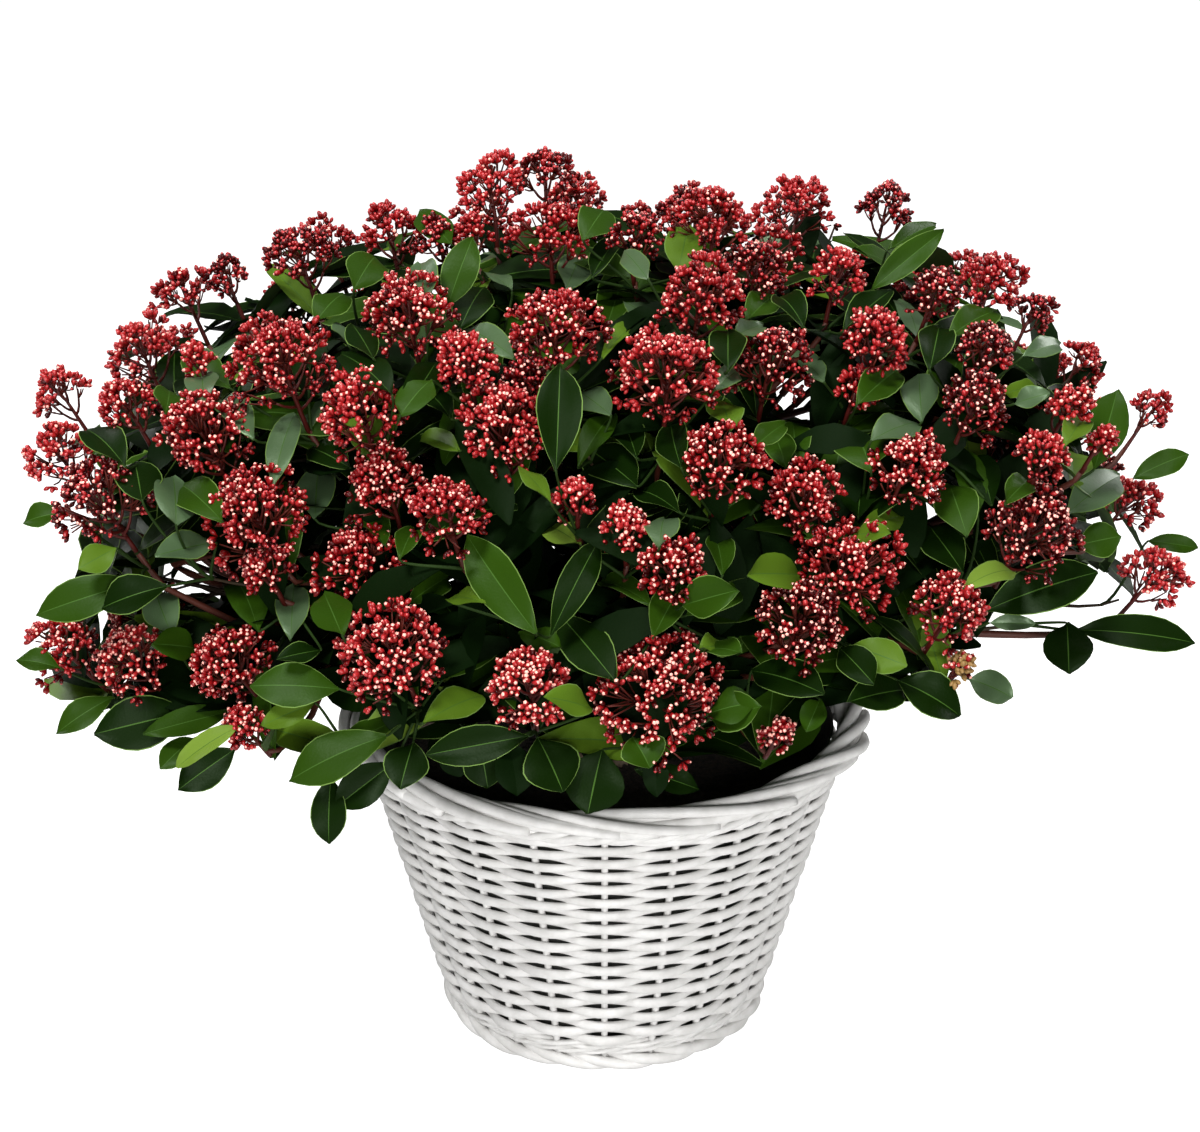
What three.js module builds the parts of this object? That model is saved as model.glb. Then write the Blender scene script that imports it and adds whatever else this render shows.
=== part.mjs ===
// Potted skimmia: an evergreen shrub, wider than tall, in a round tapered basket of white wicker.
// Millimetres, +Z up, front towards -Y. The origin is the centre of the basket's flat underside.
import * as THREE from "three";

const GAP = 0.3; // clearance left between neighbouring solids
const DEG = Math.PI / 180;

// ---- basket ------------------------------------------------------------------------------------
const BASKET_FACETS = 44; // facets round the basket and what it holds
const BASKET = {
  baseRadius: 111, // outer radius that the straight flank would have at the ground
  flare: 0.267, // growth of the radius per unit of height
  tuckHeight: 30, // below this the flank curls in towards the foot
  tuck: 5, // how far it curls in
  wall: 12, // stake and strands together
  wallTop: 204,
};
const FOOT = { height: 11, inner: 97, outer: 111, edge: 4 };
const RIM = { top: 222, inner: 157, outer: 178, edge: 5 };
const LINER = { thickness: 1.6, top: 210 };
const SOIL_TOP = 182;

// ---- shrub -------------------------------------------------------------------------------------
const TRUNK = {
  flareRadius: 25,
  flareHeight: 12,
  waistRadius: 13,
  forkRadius: 22, // the swollen fork that the boughs spring from
  facets: 28,
  fork: new THREE.Vector3(5, -4, 246), // the trunk leans a little to the front right
};
const BOUGH = { baseRadius: 4.8, tipRadius: 3.2, bow: 4, sides: 8, steps: 5 };
const CROWN = {
  centreZ: 335, // height of the crown's widest level
  left: 402,
  right: 408,
  front: 290,
  back: 306,
  up: 250,
  down: 260,
  fullness: 2, // exponent of the dome: 2 is an ellipsoid, more is squarer
};
// The crown's underside on each side and at its front corners: its height over the rim, and its slope
// beyond it in degrees.
const UNDERSIDE = {
  lift: { front: 8, back: 8, left: 6, right: 10, frontLeft: 10, frontRight: 20 },
  slope: { front: 24, back: 8, left: -2, right: 11, frontLeft: 0, frontRight: 16 },
};
const MASS_DETAIL = 2; // subdivisions of the ball that each mass is shaped from
const MASS_CENTRE = 0.7; // centre of a mass, as a share of the crown's reach
const OPEN_MIDDLE = 122; // distance from the fork to the inner face of every mass
const MASS_SPREAD = 0.72; // half width of a mass, as a share of the space to its neighbours
const REACH_SPREAD = 0.03; // how much the reach of the masses varies
const LUMP = 0.07; // unevenness of a mass, as a share of its size
const OUTLINE_STEPS = 8; // halvings in the search for the crown's outline

// Tiers of foliage masses: how many, their elevation over the crown's centre, how far that follows the
// slope of the underside, and the azimuth of the first.
const TIERS = [
  { name: "skirt", count: 10, elevation: -13, follows: 0.4, first: 0 },
  { name: "shoulder", count: 9, elevation: 12, follows: 0.2, first: 20 },
  { name: "upper", count: 6, elevation: 39, follows: 0, first: 8 },
  { name: "top", count: 2, elevation: 74, follows: 0, first: 70 },
];
// The tiers' masses that a bough runs to: every nth one, counted from an offset.
const BOUGHS = [
  { tier: "skirt", every: 2, offset: 0 },
  { tier: "shoulder", every: 3, offset: 1 },
  { tier: "upper", every: 2, offset: 0 },
  { tier: "top", every: 2, offset: 0 },
];

const COLOURS = {
  wicker: new THREE.MeshStandardMaterial({ color: 0xf1eee8, roughness: 0.55, metalness: 0 }),
  liner: new THREE.MeshStandardMaterial({ color: 0x1c1c1a, roughness: 0.45, metalness: 0 }),
  soil: new THREE.MeshStandardMaterial({ color: 0x2b1f16, roughness: 0.95, metalness: 0 }),
  bark: new THREE.MeshStandardMaterial({ color: 0x6a5138, roughness: 0.85, metalness: 0 }),
  foliage: new THREE.MeshStandardMaterial({ color: 0x2c4a1e, roughness: 0.5, metalness: 0 }),
};

const plant = new THREE.Group();
plant.name = "potted_skimmia";

function addNode(name, geometry, material) {
  const mesh = new THREE.Mesh(geometry, material);
  mesh.name = name;
  plant.add(mesh);
  return mesh;
}

// A solid of revolution about Z from a closed profile of [radius, height] pairs, listed counterclockwise.
function turned(profile, facets = BASKET_FACETS) {
  const points = profile.map(([r, z]) => new THREE.Vector2(r, z));
  if (profile[0][0] > 0) {
    points.push(points[0].clone());
  }
  return new THREE.LatheGeometry(points, facets).rotateX(Math.PI / 2);
}

// Outer radius of the basket's flank at height z.
function flankRadius(z) {
  const low = Math.max(0, 1 - z / BASKET.tuckHeight);
  return BASKET.baseRadius + BASKET.flare * z - BASKET.tuck * low * low;
}

// Profile of a sleeve that lies between two radii given as functions of height.
function sleeve(outer, inner, heights) {
  const up = heights.map((z) => [outer(z), z]);
  const down = [...heights].reverse().map((z) => [inner(z), z]);
  return [...up, ...down];
}

// ---- basket, liner and soil --------------------------------------------------------------------
const wallBottom = FOOT.height + GAP;
const linerOuter = (z) => flankRadius(z) - BASKET.wall - GAP;
const linerInner = (z) => linerOuter(z) - LINER.thickness;
const soilRadius = (z) => linerInner(z) - GAP;
const linerFloor = wallBottom;
const soilFloor = linerFloor + LINER.thickness + GAP;
const wallHeights = [wallBottom, BASKET.tuckHeight, BASKET.wallTop - GAP];
const wallInner = (z) => flankRadius(z) - BASKET.wall;

addNode(
  "basket_wall",
  turned(sleeve(flankRadius, wallInner, wallHeights)),
  COLOURS.wicker,
);

addNode(
  "basket_foot",
  turned([
    [FOOT.inner, 0],
    [FOOT.outer - FOOT.edge, 0],
    [FOOT.outer - 1, FOOT.edge / 2],
    [FOOT.outer, FOOT.height / 2],
    [FOOT.outer - 1, FOOT.height],
    [FOOT.inner, FOOT.height],
  ]),
  COLOURS.wicker,
);

addNode(
  "basket_floor",
  turned([
    [0, 0],
    [FOOT.inner - GAP, 0],
    [FOOT.inner - GAP, FOOT.height],
    [0, FOOT.height],
  ]),
  COLOURS.wicker,
);

addNode(
  "basket_rim",
  turned([
    [RIM.inner, BASKET.wallTop],
    [RIM.outer - RIM.edge, BASKET.wallTop],
    [RIM.outer, BASKET.wallTop + RIM.edge],
    [RIM.outer, RIM.top - RIM.edge],
    [RIM.outer - RIM.edge, RIM.top],
    [RIM.inner + RIM.edge, RIM.top],
    [RIM.inner, RIM.top - RIM.edge],
  ]),
  COLOURS.wicker,
);

addNode(
  "liner",
  turned([
    [0, linerFloor],
    [linerOuter(linerFloor), linerFloor],
    [linerOuter(BASKET.tuckHeight), BASKET.tuckHeight],
    [linerOuter(LINER.top), LINER.top],
    [linerInner(LINER.top), LINER.top],
    [linerInner(BASKET.tuckHeight), BASKET.tuckHeight],
    [linerInner(linerFloor), linerFloor + LINER.thickness],
    [0, linerFloor + LINER.thickness],
  ]),
  COLOURS.liner,
);

addNode(
  "root_ball",
  turned([
    [0, soilFloor],
    [soilRadius(linerFloor), soilFloor],
    [soilRadius(BASKET.tuckHeight), BASKET.tuckHeight],
    [soilRadius(SOIL_TOP), SOIL_TOP],
    [0, SOIL_TOP],
  ]),
  COLOURS.soil,
);

// ---- trunk -------------------------------------------------------------------------------------
const trunkFoot = SOIL_TOP + GAP;
const knobAngles = [-55, -35, -15, 5, 25, 45, 65];
const knob = knobAngles.map((a) => [
  TRUNK.forkRadius * Math.cos(a * DEG),
  TRUNK.fork.z + TRUNK.forkRadius * Math.sin(a * DEG),
]);

// The upright trunk moved sideways by its lean, which is complete where the swollen fork begins.
function leaning(geometry) {
  const position = geometry.getAttribute("position");
  const leanTop = knob[0][1];
  for (let i = 0; i < position.count; i += 1) {
    const z = position.getZ(i);
    const lean = Math.min(1, (z - trunkFoot) / (leanTop - trunkFoot));
    position.setX(i, position.getX(i) + TRUNK.fork.x * lean);
    position.setY(i, position.getY(i) + TRUNK.fork.y * lean);
  }
  return geometry;
}

addNode(
  "trunk",
  leaning(
    turned(
      [
        [0, trunkFoot],
        [TRUNK.flareRadius, trunkFoot],
        [(TRUNK.flareRadius + TRUNK.waistRadius) / 2, trunkFoot + TRUNK.flareHeight / 3],
        [TRUNK.waistRadius, trunkFoot + TRUNK.flareHeight],
        ...knob,
        [0, TRUNK.fork.z + TRUNK.forkRadius],
      ],
      TRUNK.facets,
    ),
  ),
  COLOURS.bark,
);

// ---- foliage masses ----------------------------------------------------------------------------
// Level direction at an azimuth counted from the front (-Y) towards the right (+X).
function levelDirection(azimuth) {
  return new THREE.Vector3(Math.sin(azimuth * DEG), -Math.cos(azimuth * DEG), 0);
}

// Direction from the crown's centre at an azimuth and an elevation.
function crownDirection(azimuth, elevation) {
  const level = levelDirection(azimuth).multiplyScalar(Math.cos(elevation * DEG));
  return level.add(new THREE.Vector3(0, 0, Math.sin(elevation * DEG)));
}

// How far out an offset from the crown's centre lies: 1 on the crown's outline, which is a squared
// ellipsoid with its own reach on each side, and less inside it.
function crownShare(offset) {
  const side = offset.x < 0 ? CROWN.left : CROWN.right;
  const depth = offset.y < 0 ? CROWN.front : CROWN.back;
  const height = offset.z < 0 ? CROWN.down : CROWN.up;
  const sum =
    Math.abs(offset.x / side) ** CROWN.fullness +
    Math.abs(offset.y / depth) ** CROWN.fullness +
    Math.abs(offset.z / height) ** CROWN.fullness;
  return sum ** (1 / CROWN.fullness);
}

// A small repeatable irregularity between -1 and 1 for the nth item.
function jitter(n, channel) {
  const s = Math.sin(n * 12.9898 + channel * 78.233) * 43758.5453;
  return 2 * (s - Math.floor(s)) - 1;
}

// A value of the underside in a level direction, blended from the values of the sides and corners.
function undersideAt(values, level) {
  const depth = (level.y < 0 ? values.front : values.back) * level.y ** 2;
  const side = (level.x < 0 ? values.left : values.right) * level.x ** 2;
  const corner = level.x < 0 ? values.frontLeft : values.frontRight;
  return depth + side + (level.y < 0 ? corner * (2 * level.x * level.y) ** 2 : 0);
}

const crownCentre = new THREE.Vector3(0, 0, CROWN.centreZ);
const masses = [];
for (const tier of TIERS) {
  for (let i = 0; i < tier.count; i += 1) {
    const n = masses.length;
    const azimuth = tier.first + (360 * i) / tier.count + 5 * jitter(n, 1);
    const raised = tier.follows * undersideAt(UNDERSIDE.slope, levelDirection(azimuth));
    const out = crownDirection(azimuth, tier.elevation + raised + 3 * jitter(n, 2));
    const stretch = 1 + REACH_SPREAD * jitter(n, 3);
    const reach = stretch / crownShare(out);
    const centre = out.clone().multiplyScalar(reach * MASS_CENTRE).add(crownCentre);
    masses.push({ tier: tier.name, index: i, n, azimuth, out, stretch, reach, centre });
  }
}

// Half width of each mass: a share of the mean space to its four nearest neighbours.
for (const mass of masses) {
  const spaces = masses
    .filter((other) => other !== mass)
    .map((other) => other.centre.distanceTo(mass.centre))
    .sort((a, b) => a - b);
  mass.half = ((spaces[0] + spaces[1] + spaces[2] + spaces[3]) / 4) * MASS_SPREAD;
}

// Planes that a mass stays behind, each as {normal, limit} with point . normal <= limit.
function limitsOf(mass) {
  const limits = [];
  for (const other of masses) {
    if (other === mass) {
      continue;
    }
    const normal = other.centre.clone().sub(mass.centre);
    const share = mass.half / (mass.half + other.half);
    const middle = mass.centre.clone().addScaledVector(normal, share);
    normal.normalize();
    limits.push({ normal, limit: middle.dot(normal) - GAP / 2 });
  }
  // the inner face looks at the fork
  const inward = TRUNK.fork.clone().sub(mass.centre).normalize();
  mass.entry = TRUNK.fork.clone().addScaledVector(inward, -OPEN_MIDDLE);
  limits.push({ normal: inward, limit: mass.entry.dot(inward) });
  limits.push(...undersideOf(mass));
  return limits;
}

// The underside clears the rim, then slopes away from it by an angle: it droops at the sides and rises
// at the front and back.
function undersideOf(mass) {
  const level = levelDirection(mass.azimuth);
  const slope = undersideAt(UNDERSIDE.slope, level) * DEG;
  const normal = level.clone().multiplyScalar(Math.sin(slope));
  normal.z = -Math.cos(slope);
  const edge = level.clone().multiplyScalar(RIM.outer);
  edge.z = RIM.top + undersideAt(UNDERSIDE.lift, level);
  const sloping = { normal, limit: edge.dot(normal) };
  const down = new THREE.Vector3(0, 0, -1);
  return slope > 0 ? [sloping, { normal: down, limit: edge.dot(down) }] : [sloping];
}

// The largest radius up to a wanted one at which a mass's corner keeps within the crown's outline.
function withinOutline(mass, direction, wanted) {
  const fromCrown = mass.centre.clone().sub(crownCentre);
  const shareAt = (radius) => crownShare(fromCrown.clone().addScaledVector(direction, radius));
  if (shareAt(wanted) <= mass.stretch) {
    return wanted;
  }
  let low = 0;
  let high = wanted;
  for (let i = 0; i < OUTLINE_STEPS; i += 1) {
    const middle = (low + high) / 2;
    if (shareAt(middle) <= mass.stretch) {
      low = middle;
    } else {
      high = middle;
    }
  }
  return low;
}

// One closed uneven mass: a ball whose corners are moved out to a lumpy ellipsoid and cut by the limits.
function massGeometry(mass, limits) {
  const geometry = new THREE.IcosahedronGeometry(1, MASS_DETAIL);
  const position = geometry.getAttribute("position");
  const outward = mass.reach * (1 - MASS_CENTRE);
  const corner = new THREE.Vector3();
  for (let i = 0; i < position.count; i += 1) {
    corner.fromBufferAttribute(position, i).normalize();
    const along = corner.dot(mass.out);
    const across = Math.sqrt(Math.max(0, 1 - along * along));
    const size = along > 0 ? outward : mass.reach;
    let radius = 1 / Math.hypot(along / size, across / mass.half);
    const phase = mass.n * 1.7;
    radius *= 1 + LUMP * Math.sin(5 * corner.x + phase) * Math.cos(4 * corner.y - phase);
    radius *= 1 + LUMP * Math.sin(6 * corner.z + 2 * phase);
    for (const { normal, limit } of limits) {
      const towards = corner.dot(normal);
      if (towards > 1e-6) {
        radius = Math.min(radius, (limit - mass.centre.dot(normal)) / towards);
      }
    }
    radius = withinOutline(mass, corner, radius);
    corner.multiplyScalar(radius).add(mass.centre);
    position.setXYZ(i, corner.x, corner.y, corner.z);
  }
  return geometry;
}

for (const mass of masses) {
  const geometry = massGeometry(mass, limitsOf(mass));
  addNode(`mass_${mass.tier}_${mass.index + 1}`, geometry, COLOURS.foliage);
}

// ---- boughs ------------------------------------------------------------------------------------
// One tapering limb from the fork to the inner face of a mass, bent along a quadratic curve.
function limbGeometry(start, bend, end) {
  const geometry = new THREE.CylinderGeometry(
    BOUGH.tipRadius,
    BOUGH.baseRadius,
    1,
    BOUGH.sides,
    BOUGH.steps,
  );
  const curve = new THREE.QuadraticBezierCurve3(start, bend, end);
  const position = geometry.getAttribute("position");
  const point = new THREE.Vector3();
  const first = curve.getTangent(0);
  const sideways = new THREE.Vector3(0, 0, 1).cross(first);
  if (sideways.length() < 0.1) {
    sideways.set(1, 0, 0);
  }
  sideways.normalize();
  for (let i = 0; i < position.count; i += 1) {
    const t = Math.min(1, Math.max(0, position.getY(i) + 0.5));
    const tangent = curve.getTangent(t);
    const up = sideways.clone().cross(tangent).normalize();
    const across = tangent.clone().cross(up);
    curve.getPoint(t, point);
    point.addScaledVector(across, position.getX(i));
    point.addScaledVector(up, position.getZ(i));
    position.setXYZ(i, point.x, point.y, point.z);
  }
  return geometry;
}

let boughNumber = 0;
for (const { tier, every, offset } of BOUGHS) {
  for (const mass of masses.filter((m) => m.tier === tier && m.index % every === offset)) {
    const towards = mass.entry.clone().sub(TRUNK.fork).normalize();
    // the bow tilts both ends by this much, so each stands back until its nearest edge has the gap
    const tilt = (2 * BOUGH.bow) / (OPEN_MIDDLE - TRUNK.forkRadius);
    const base = TRUNK.forkRadius + GAP + BOUGH.baseRadius * tilt;
    const tip = OPEN_MIDDLE - GAP - BOUGH.tipRadius * tilt;
    const upward = new THREE.Vector3(0, 0, 1).addScaledVector(towards, -towards.z).normalize();
    const start = TRUNK.fork.clone().addScaledVector(towards, base);
    const end = TRUNK.fork.clone().addScaledVector(towards, tip);
    const bend = start.clone().lerp(end, 0.5).addScaledVector(upward, BOUGH.bow);
    boughNumber += 1;
    addNode(`bough_${boughNumber}`, limbGeometry(start, bend, end), COLOURS.bark);
  }
}

export default plant;
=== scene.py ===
"""A skimmia shrub in a round basket of woven white willow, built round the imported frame.

Lengths are metres. The basket stands on z = 0 with its middle at the origin and its front
towards -Y. Azimuths run from the front to the right, as seen from above anticlockwise.
"""

import math

import bpy
import numpy as np
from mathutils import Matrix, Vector
from mathutils.bvhtree import BVHTree


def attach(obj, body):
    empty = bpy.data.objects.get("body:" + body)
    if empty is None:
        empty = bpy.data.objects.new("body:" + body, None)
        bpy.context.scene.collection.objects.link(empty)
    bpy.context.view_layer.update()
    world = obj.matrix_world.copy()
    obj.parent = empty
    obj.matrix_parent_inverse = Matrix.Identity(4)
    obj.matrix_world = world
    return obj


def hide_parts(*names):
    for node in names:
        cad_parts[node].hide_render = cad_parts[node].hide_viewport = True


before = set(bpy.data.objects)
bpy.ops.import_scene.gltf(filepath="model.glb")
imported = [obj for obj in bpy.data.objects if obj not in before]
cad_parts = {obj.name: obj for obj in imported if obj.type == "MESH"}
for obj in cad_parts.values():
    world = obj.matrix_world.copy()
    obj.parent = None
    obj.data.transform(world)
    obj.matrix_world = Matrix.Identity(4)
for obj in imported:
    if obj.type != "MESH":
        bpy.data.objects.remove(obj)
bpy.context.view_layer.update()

SEED = 20
GOLDEN_ANGLE = math.pi * (3 - math.sqrt(5))
ANY_TURN = (0, 6.28)  # the range of a random turn
ANY_WAY = np.array([0.31, 0.92, 0.22])  # a direction that nothing here runs along
UP = np.array([0.0, 0.0, 1.0])

# Camera
IMAGE_WIDTH, IMAGE_HEIGHT = 1200, 1132
FOCAL_PIXELS = 2200
SENSOR_WIDTH = 36
CAMERA_PITCH = math.radians(20.5)
CAMERA_DISTANCE = 1.452
CAMERA_TARGET = np.array([-0.0029, 0, 0.3176])

# Basket
WALL_BASE_RADIUS = 0.111
WALL_FLARE = 0.267
WALL_TUCK = 0.0015
WALL_TUCK_HEIGHT = 0.030
STAKES = 22
STAKE_RADIUS = 0.0024
STAKE_DEPTH = 0.0060  # of a stake's middle inside the wall's outer face
STAKE_ENDS = (0.012, 0.206)
STAKE_STEPS, STAKE_SIDES = 12, 6
WEAVE_BOTTOM = 0.0235
WEAVE_ROWS = 30
ROW_PITCHES = (0.0066, 0.0050)  # of the lowest row and the highest
ROW_HALF, ROW_BULGE = 0.500, 0.095  # a rod's half height and its swing, as shares of the pitch
ROW_VARIETY = 0.05
WEAVE_SWING = 0.0035
SWING_POWER = 0.8  # below one, a rod lies longer beside its stakes
# Unevenness: the largest wave's size, and how many of each wave there are round the ring
SHARED_WAVE, OWN_WAVE = (0.0006, (2, 3, 7)), (0.00022, (5, 9, 11))
DEPTH_WAVE, TWIST_WAVE = (0.00025, (4, 7, 13)), (0.0003, (3, 5, 8))
WEAVER_HALF_DEPTH = 0.0021
POINTS_PER_BAY = 8
BORDER_RADIUS = 0.1675
BORDER_HEIGHT = 0.2125
BORDER_RUN = np.radians(66)  # how far round the basket a rod of the border runs
BORDER_REACHES = (0.0066, 0.0082)  # a rod's distance from the border's core, at its ends
BORDER_SQUASH, BORDER_FLAT = 0.82, 0.9  # of the border's section, and of its rods'
BORDER_STEPS, BORDER_SIDES = 34, 10
BORDER_GIRTHS = (0.0043, 0.0034)
ROLL_START, ROLL_END, OUTER_ROLL_END = 205, -60, -14  # degrees round the border's core
ROLL_POWER = 0.9  # below one, a rod rolls faster at its start
CURL_AZIMUTH, CURL_SPREAD = 0.8, 0.35  # where the border's tips curl over more steeply
CURL_SHORTENS, CURL_WIDENS = 0.45, 0.12
# How the border's rods vary: run, reach and girth as shares, start and roll in radians
RUNS, REACHES, GIRTHS = (0.85, 1.1), (0.88, 1.14), (0.88, 1.08)
STARTS, ROLLS = (-0.03, 0.03), (-0.24, 0.24)
CORE_GIRTH, CORE_STEPS = 0.0038, 120
CORE_OUT, CORE_UP = np.array([[-0.0022], [0.0022]]), np.array([[0.0010], [-0.0016]])
FOOT_RADIUS = 0.1045
FOOT_BAYS = 2.6  # how many bays a rod of the foot runs past
FOOT_BEHIND, FOOT_OUT, FOOT_POWER = 0.0050, 0.0104, 0.6  # a foot rod's path in and out
FOOT_TURNS_IN, FOOT_COMES_DOWN = 1.08, 1.5  # how much sooner than at its tip it does these
FOOT_RIPPLE, FOOT_RIPPLES = 0.0006, 7
FOOT_STEPS = 20
FOOT_HEIGHTS, FOOT_GIRTHS = (0.0130, 0.0049), (0.0040, 0.0036)
FOOT_STARTS, FOOT_LIFTS, FOOT_VARIETY = (-0.02, 0.02), (-0.0004, 0.0004), (0.95, 1.05)
# Twisted rings: radius, height, spread, strands, twists and girth
RIM_TWIST = (0.1622, 0.2010, 0.0022, 3, 17, 0.0027)
FOOT_TWISTS = [(0.1090, 0.0168, 0.0016, 3, 13, 0.0018), (0.1112, 0.0217, 0.0016, 2, 11, 0.0019)]
POINTS_PER_TWIST = 12

# Soil
SOIL_RADIUS = 0.143
SOIL_TOP = 0.182
SOIL_FOOT = 0.0135
SOIL_FOOT_RADIUS = 0.098
SOIL_MIDDLE = 0.0006  # radius of its first ring and its last
SOIL_SIDES, SOIL_RINGS = 96, 26
CRUMBS, EDGE_CRUMB = (-0.0018, 0.0006), -0.001

# Limbs
FORK = np.array([0.005, -0.004, 0.246])
TRUNK_FOOT = np.array([0.0, 0.0, 0.1823])
TRUNK_RADIUS = 0.0128
FORK_TOP = 0.016  # how far the swollen fork goes on above its middle
FLARE, FLARE_REACH = 0.012, 0.12  # reaches are shares of the trunk's height
KNOB, KNOB_AT, KNOB_REACH = 0.009, 0.84, 0.17
BOUGH_GIRTHS = (0.0056, 0.0034)
BOUGH_START = 0.35  # share of the way from the fork to a bough's first ring
BOUGH_RINGS, BOUGH_STEPS = 6, 16  # read from the frame, and made from them
BOUGH_SIDES, TRUNK_SIDES, TRUNK_STEPS = 10, 24, 22
TRUNK_END, NARROWED = 0.08, 0.35  # the last share of the trunk's height, where it rounds off
BARK_RIDGES = ((5, 0.05, 0.35), (9, 0.035, -0.5))  # number round, height and drift to a step
BARK_ROUGHNESS = 0.03

# Flower heads that show from the front: across and down the view in pixels, and width in metres
FRONT_HEADS = [
    (490, 190, 0.055), (545, 182, 0.046), (552, 240, 0.060), (392, 238, 0.050),
    (302, 262, 0.060), (186, 298, 0.052), (230, 284, 0.042), (146, 358, 0.060),
    (66, 400, 0.048), (62, 458, 0.052), (102, 504, 0.060), (206, 438, 0.063),
    (282, 364, 0.070), (410, 318, 0.060), (468, 364, 0.046), (556, 332, 0.064),
    (526, 388, 0.040), (364, 414, 0.058), (384, 486, 0.052), (256, 518, 0.066),
    (450, 514, 0.048), (505, 432, 0.066), (364, 566, 0.056), (394, 656, 0.066),
    (230, 662, 0.058), (68, 652, 0.052), (134, 662, 0.054), (530, 690, 0.054),
    (660, 694, 0.078), (800, 626, 0.056), (845, 570, 0.062), (776, 736, 0.030),
    (950, 612, 0.048), (958, 668, 0.026), (1032, 532, 0.062), (1152, 580, 0.050),
    (1124, 506, 0.048), (1146, 418, 0.038), (1066, 410, 0.036), (1042, 458, 0.040),
    (974, 406, 0.046), (984, 354, 0.046), (988, 290, 0.052), (1030, 318, 0.040),
    (876, 346, 0.052), (838, 278, 0.044), (884, 216, 0.052), (797, 214, 0.052),
    (714, 226, 0.058), (636, 240, 0.040), (756, 276, 0.050), (700, 302, 0.058),
    (770, 366, 0.054), (668, 378, 0.064), (720, 466, 0.052), (804, 502, 0.054),
    (906, 472, 0.050), (575, 500, 0.032), (628, 532, 0.038), (672, 570, 0.046),
    (440, 246, 0.036), (932, 300, 0.040), (266, 574, 0.034), (856, 392, 0.034),
    (128, 408, 0.044), (474, 236, 0.032), (200, 366, 0.030), (1100, 444, 0.026),
    (246, 730, 0.036),
]

# Leaf finishes: the grey-green one is a painted sheen and the near-black one painted shade
DEEP, MID, FRESH, YOUNG, PAINTED_SHEEN, MARGIN, MIDRIB, UNDERSIDE, PAINTED_SHADE = range(9)
LEAF_PIECES, BUD_PIECES = 3, 4
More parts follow.
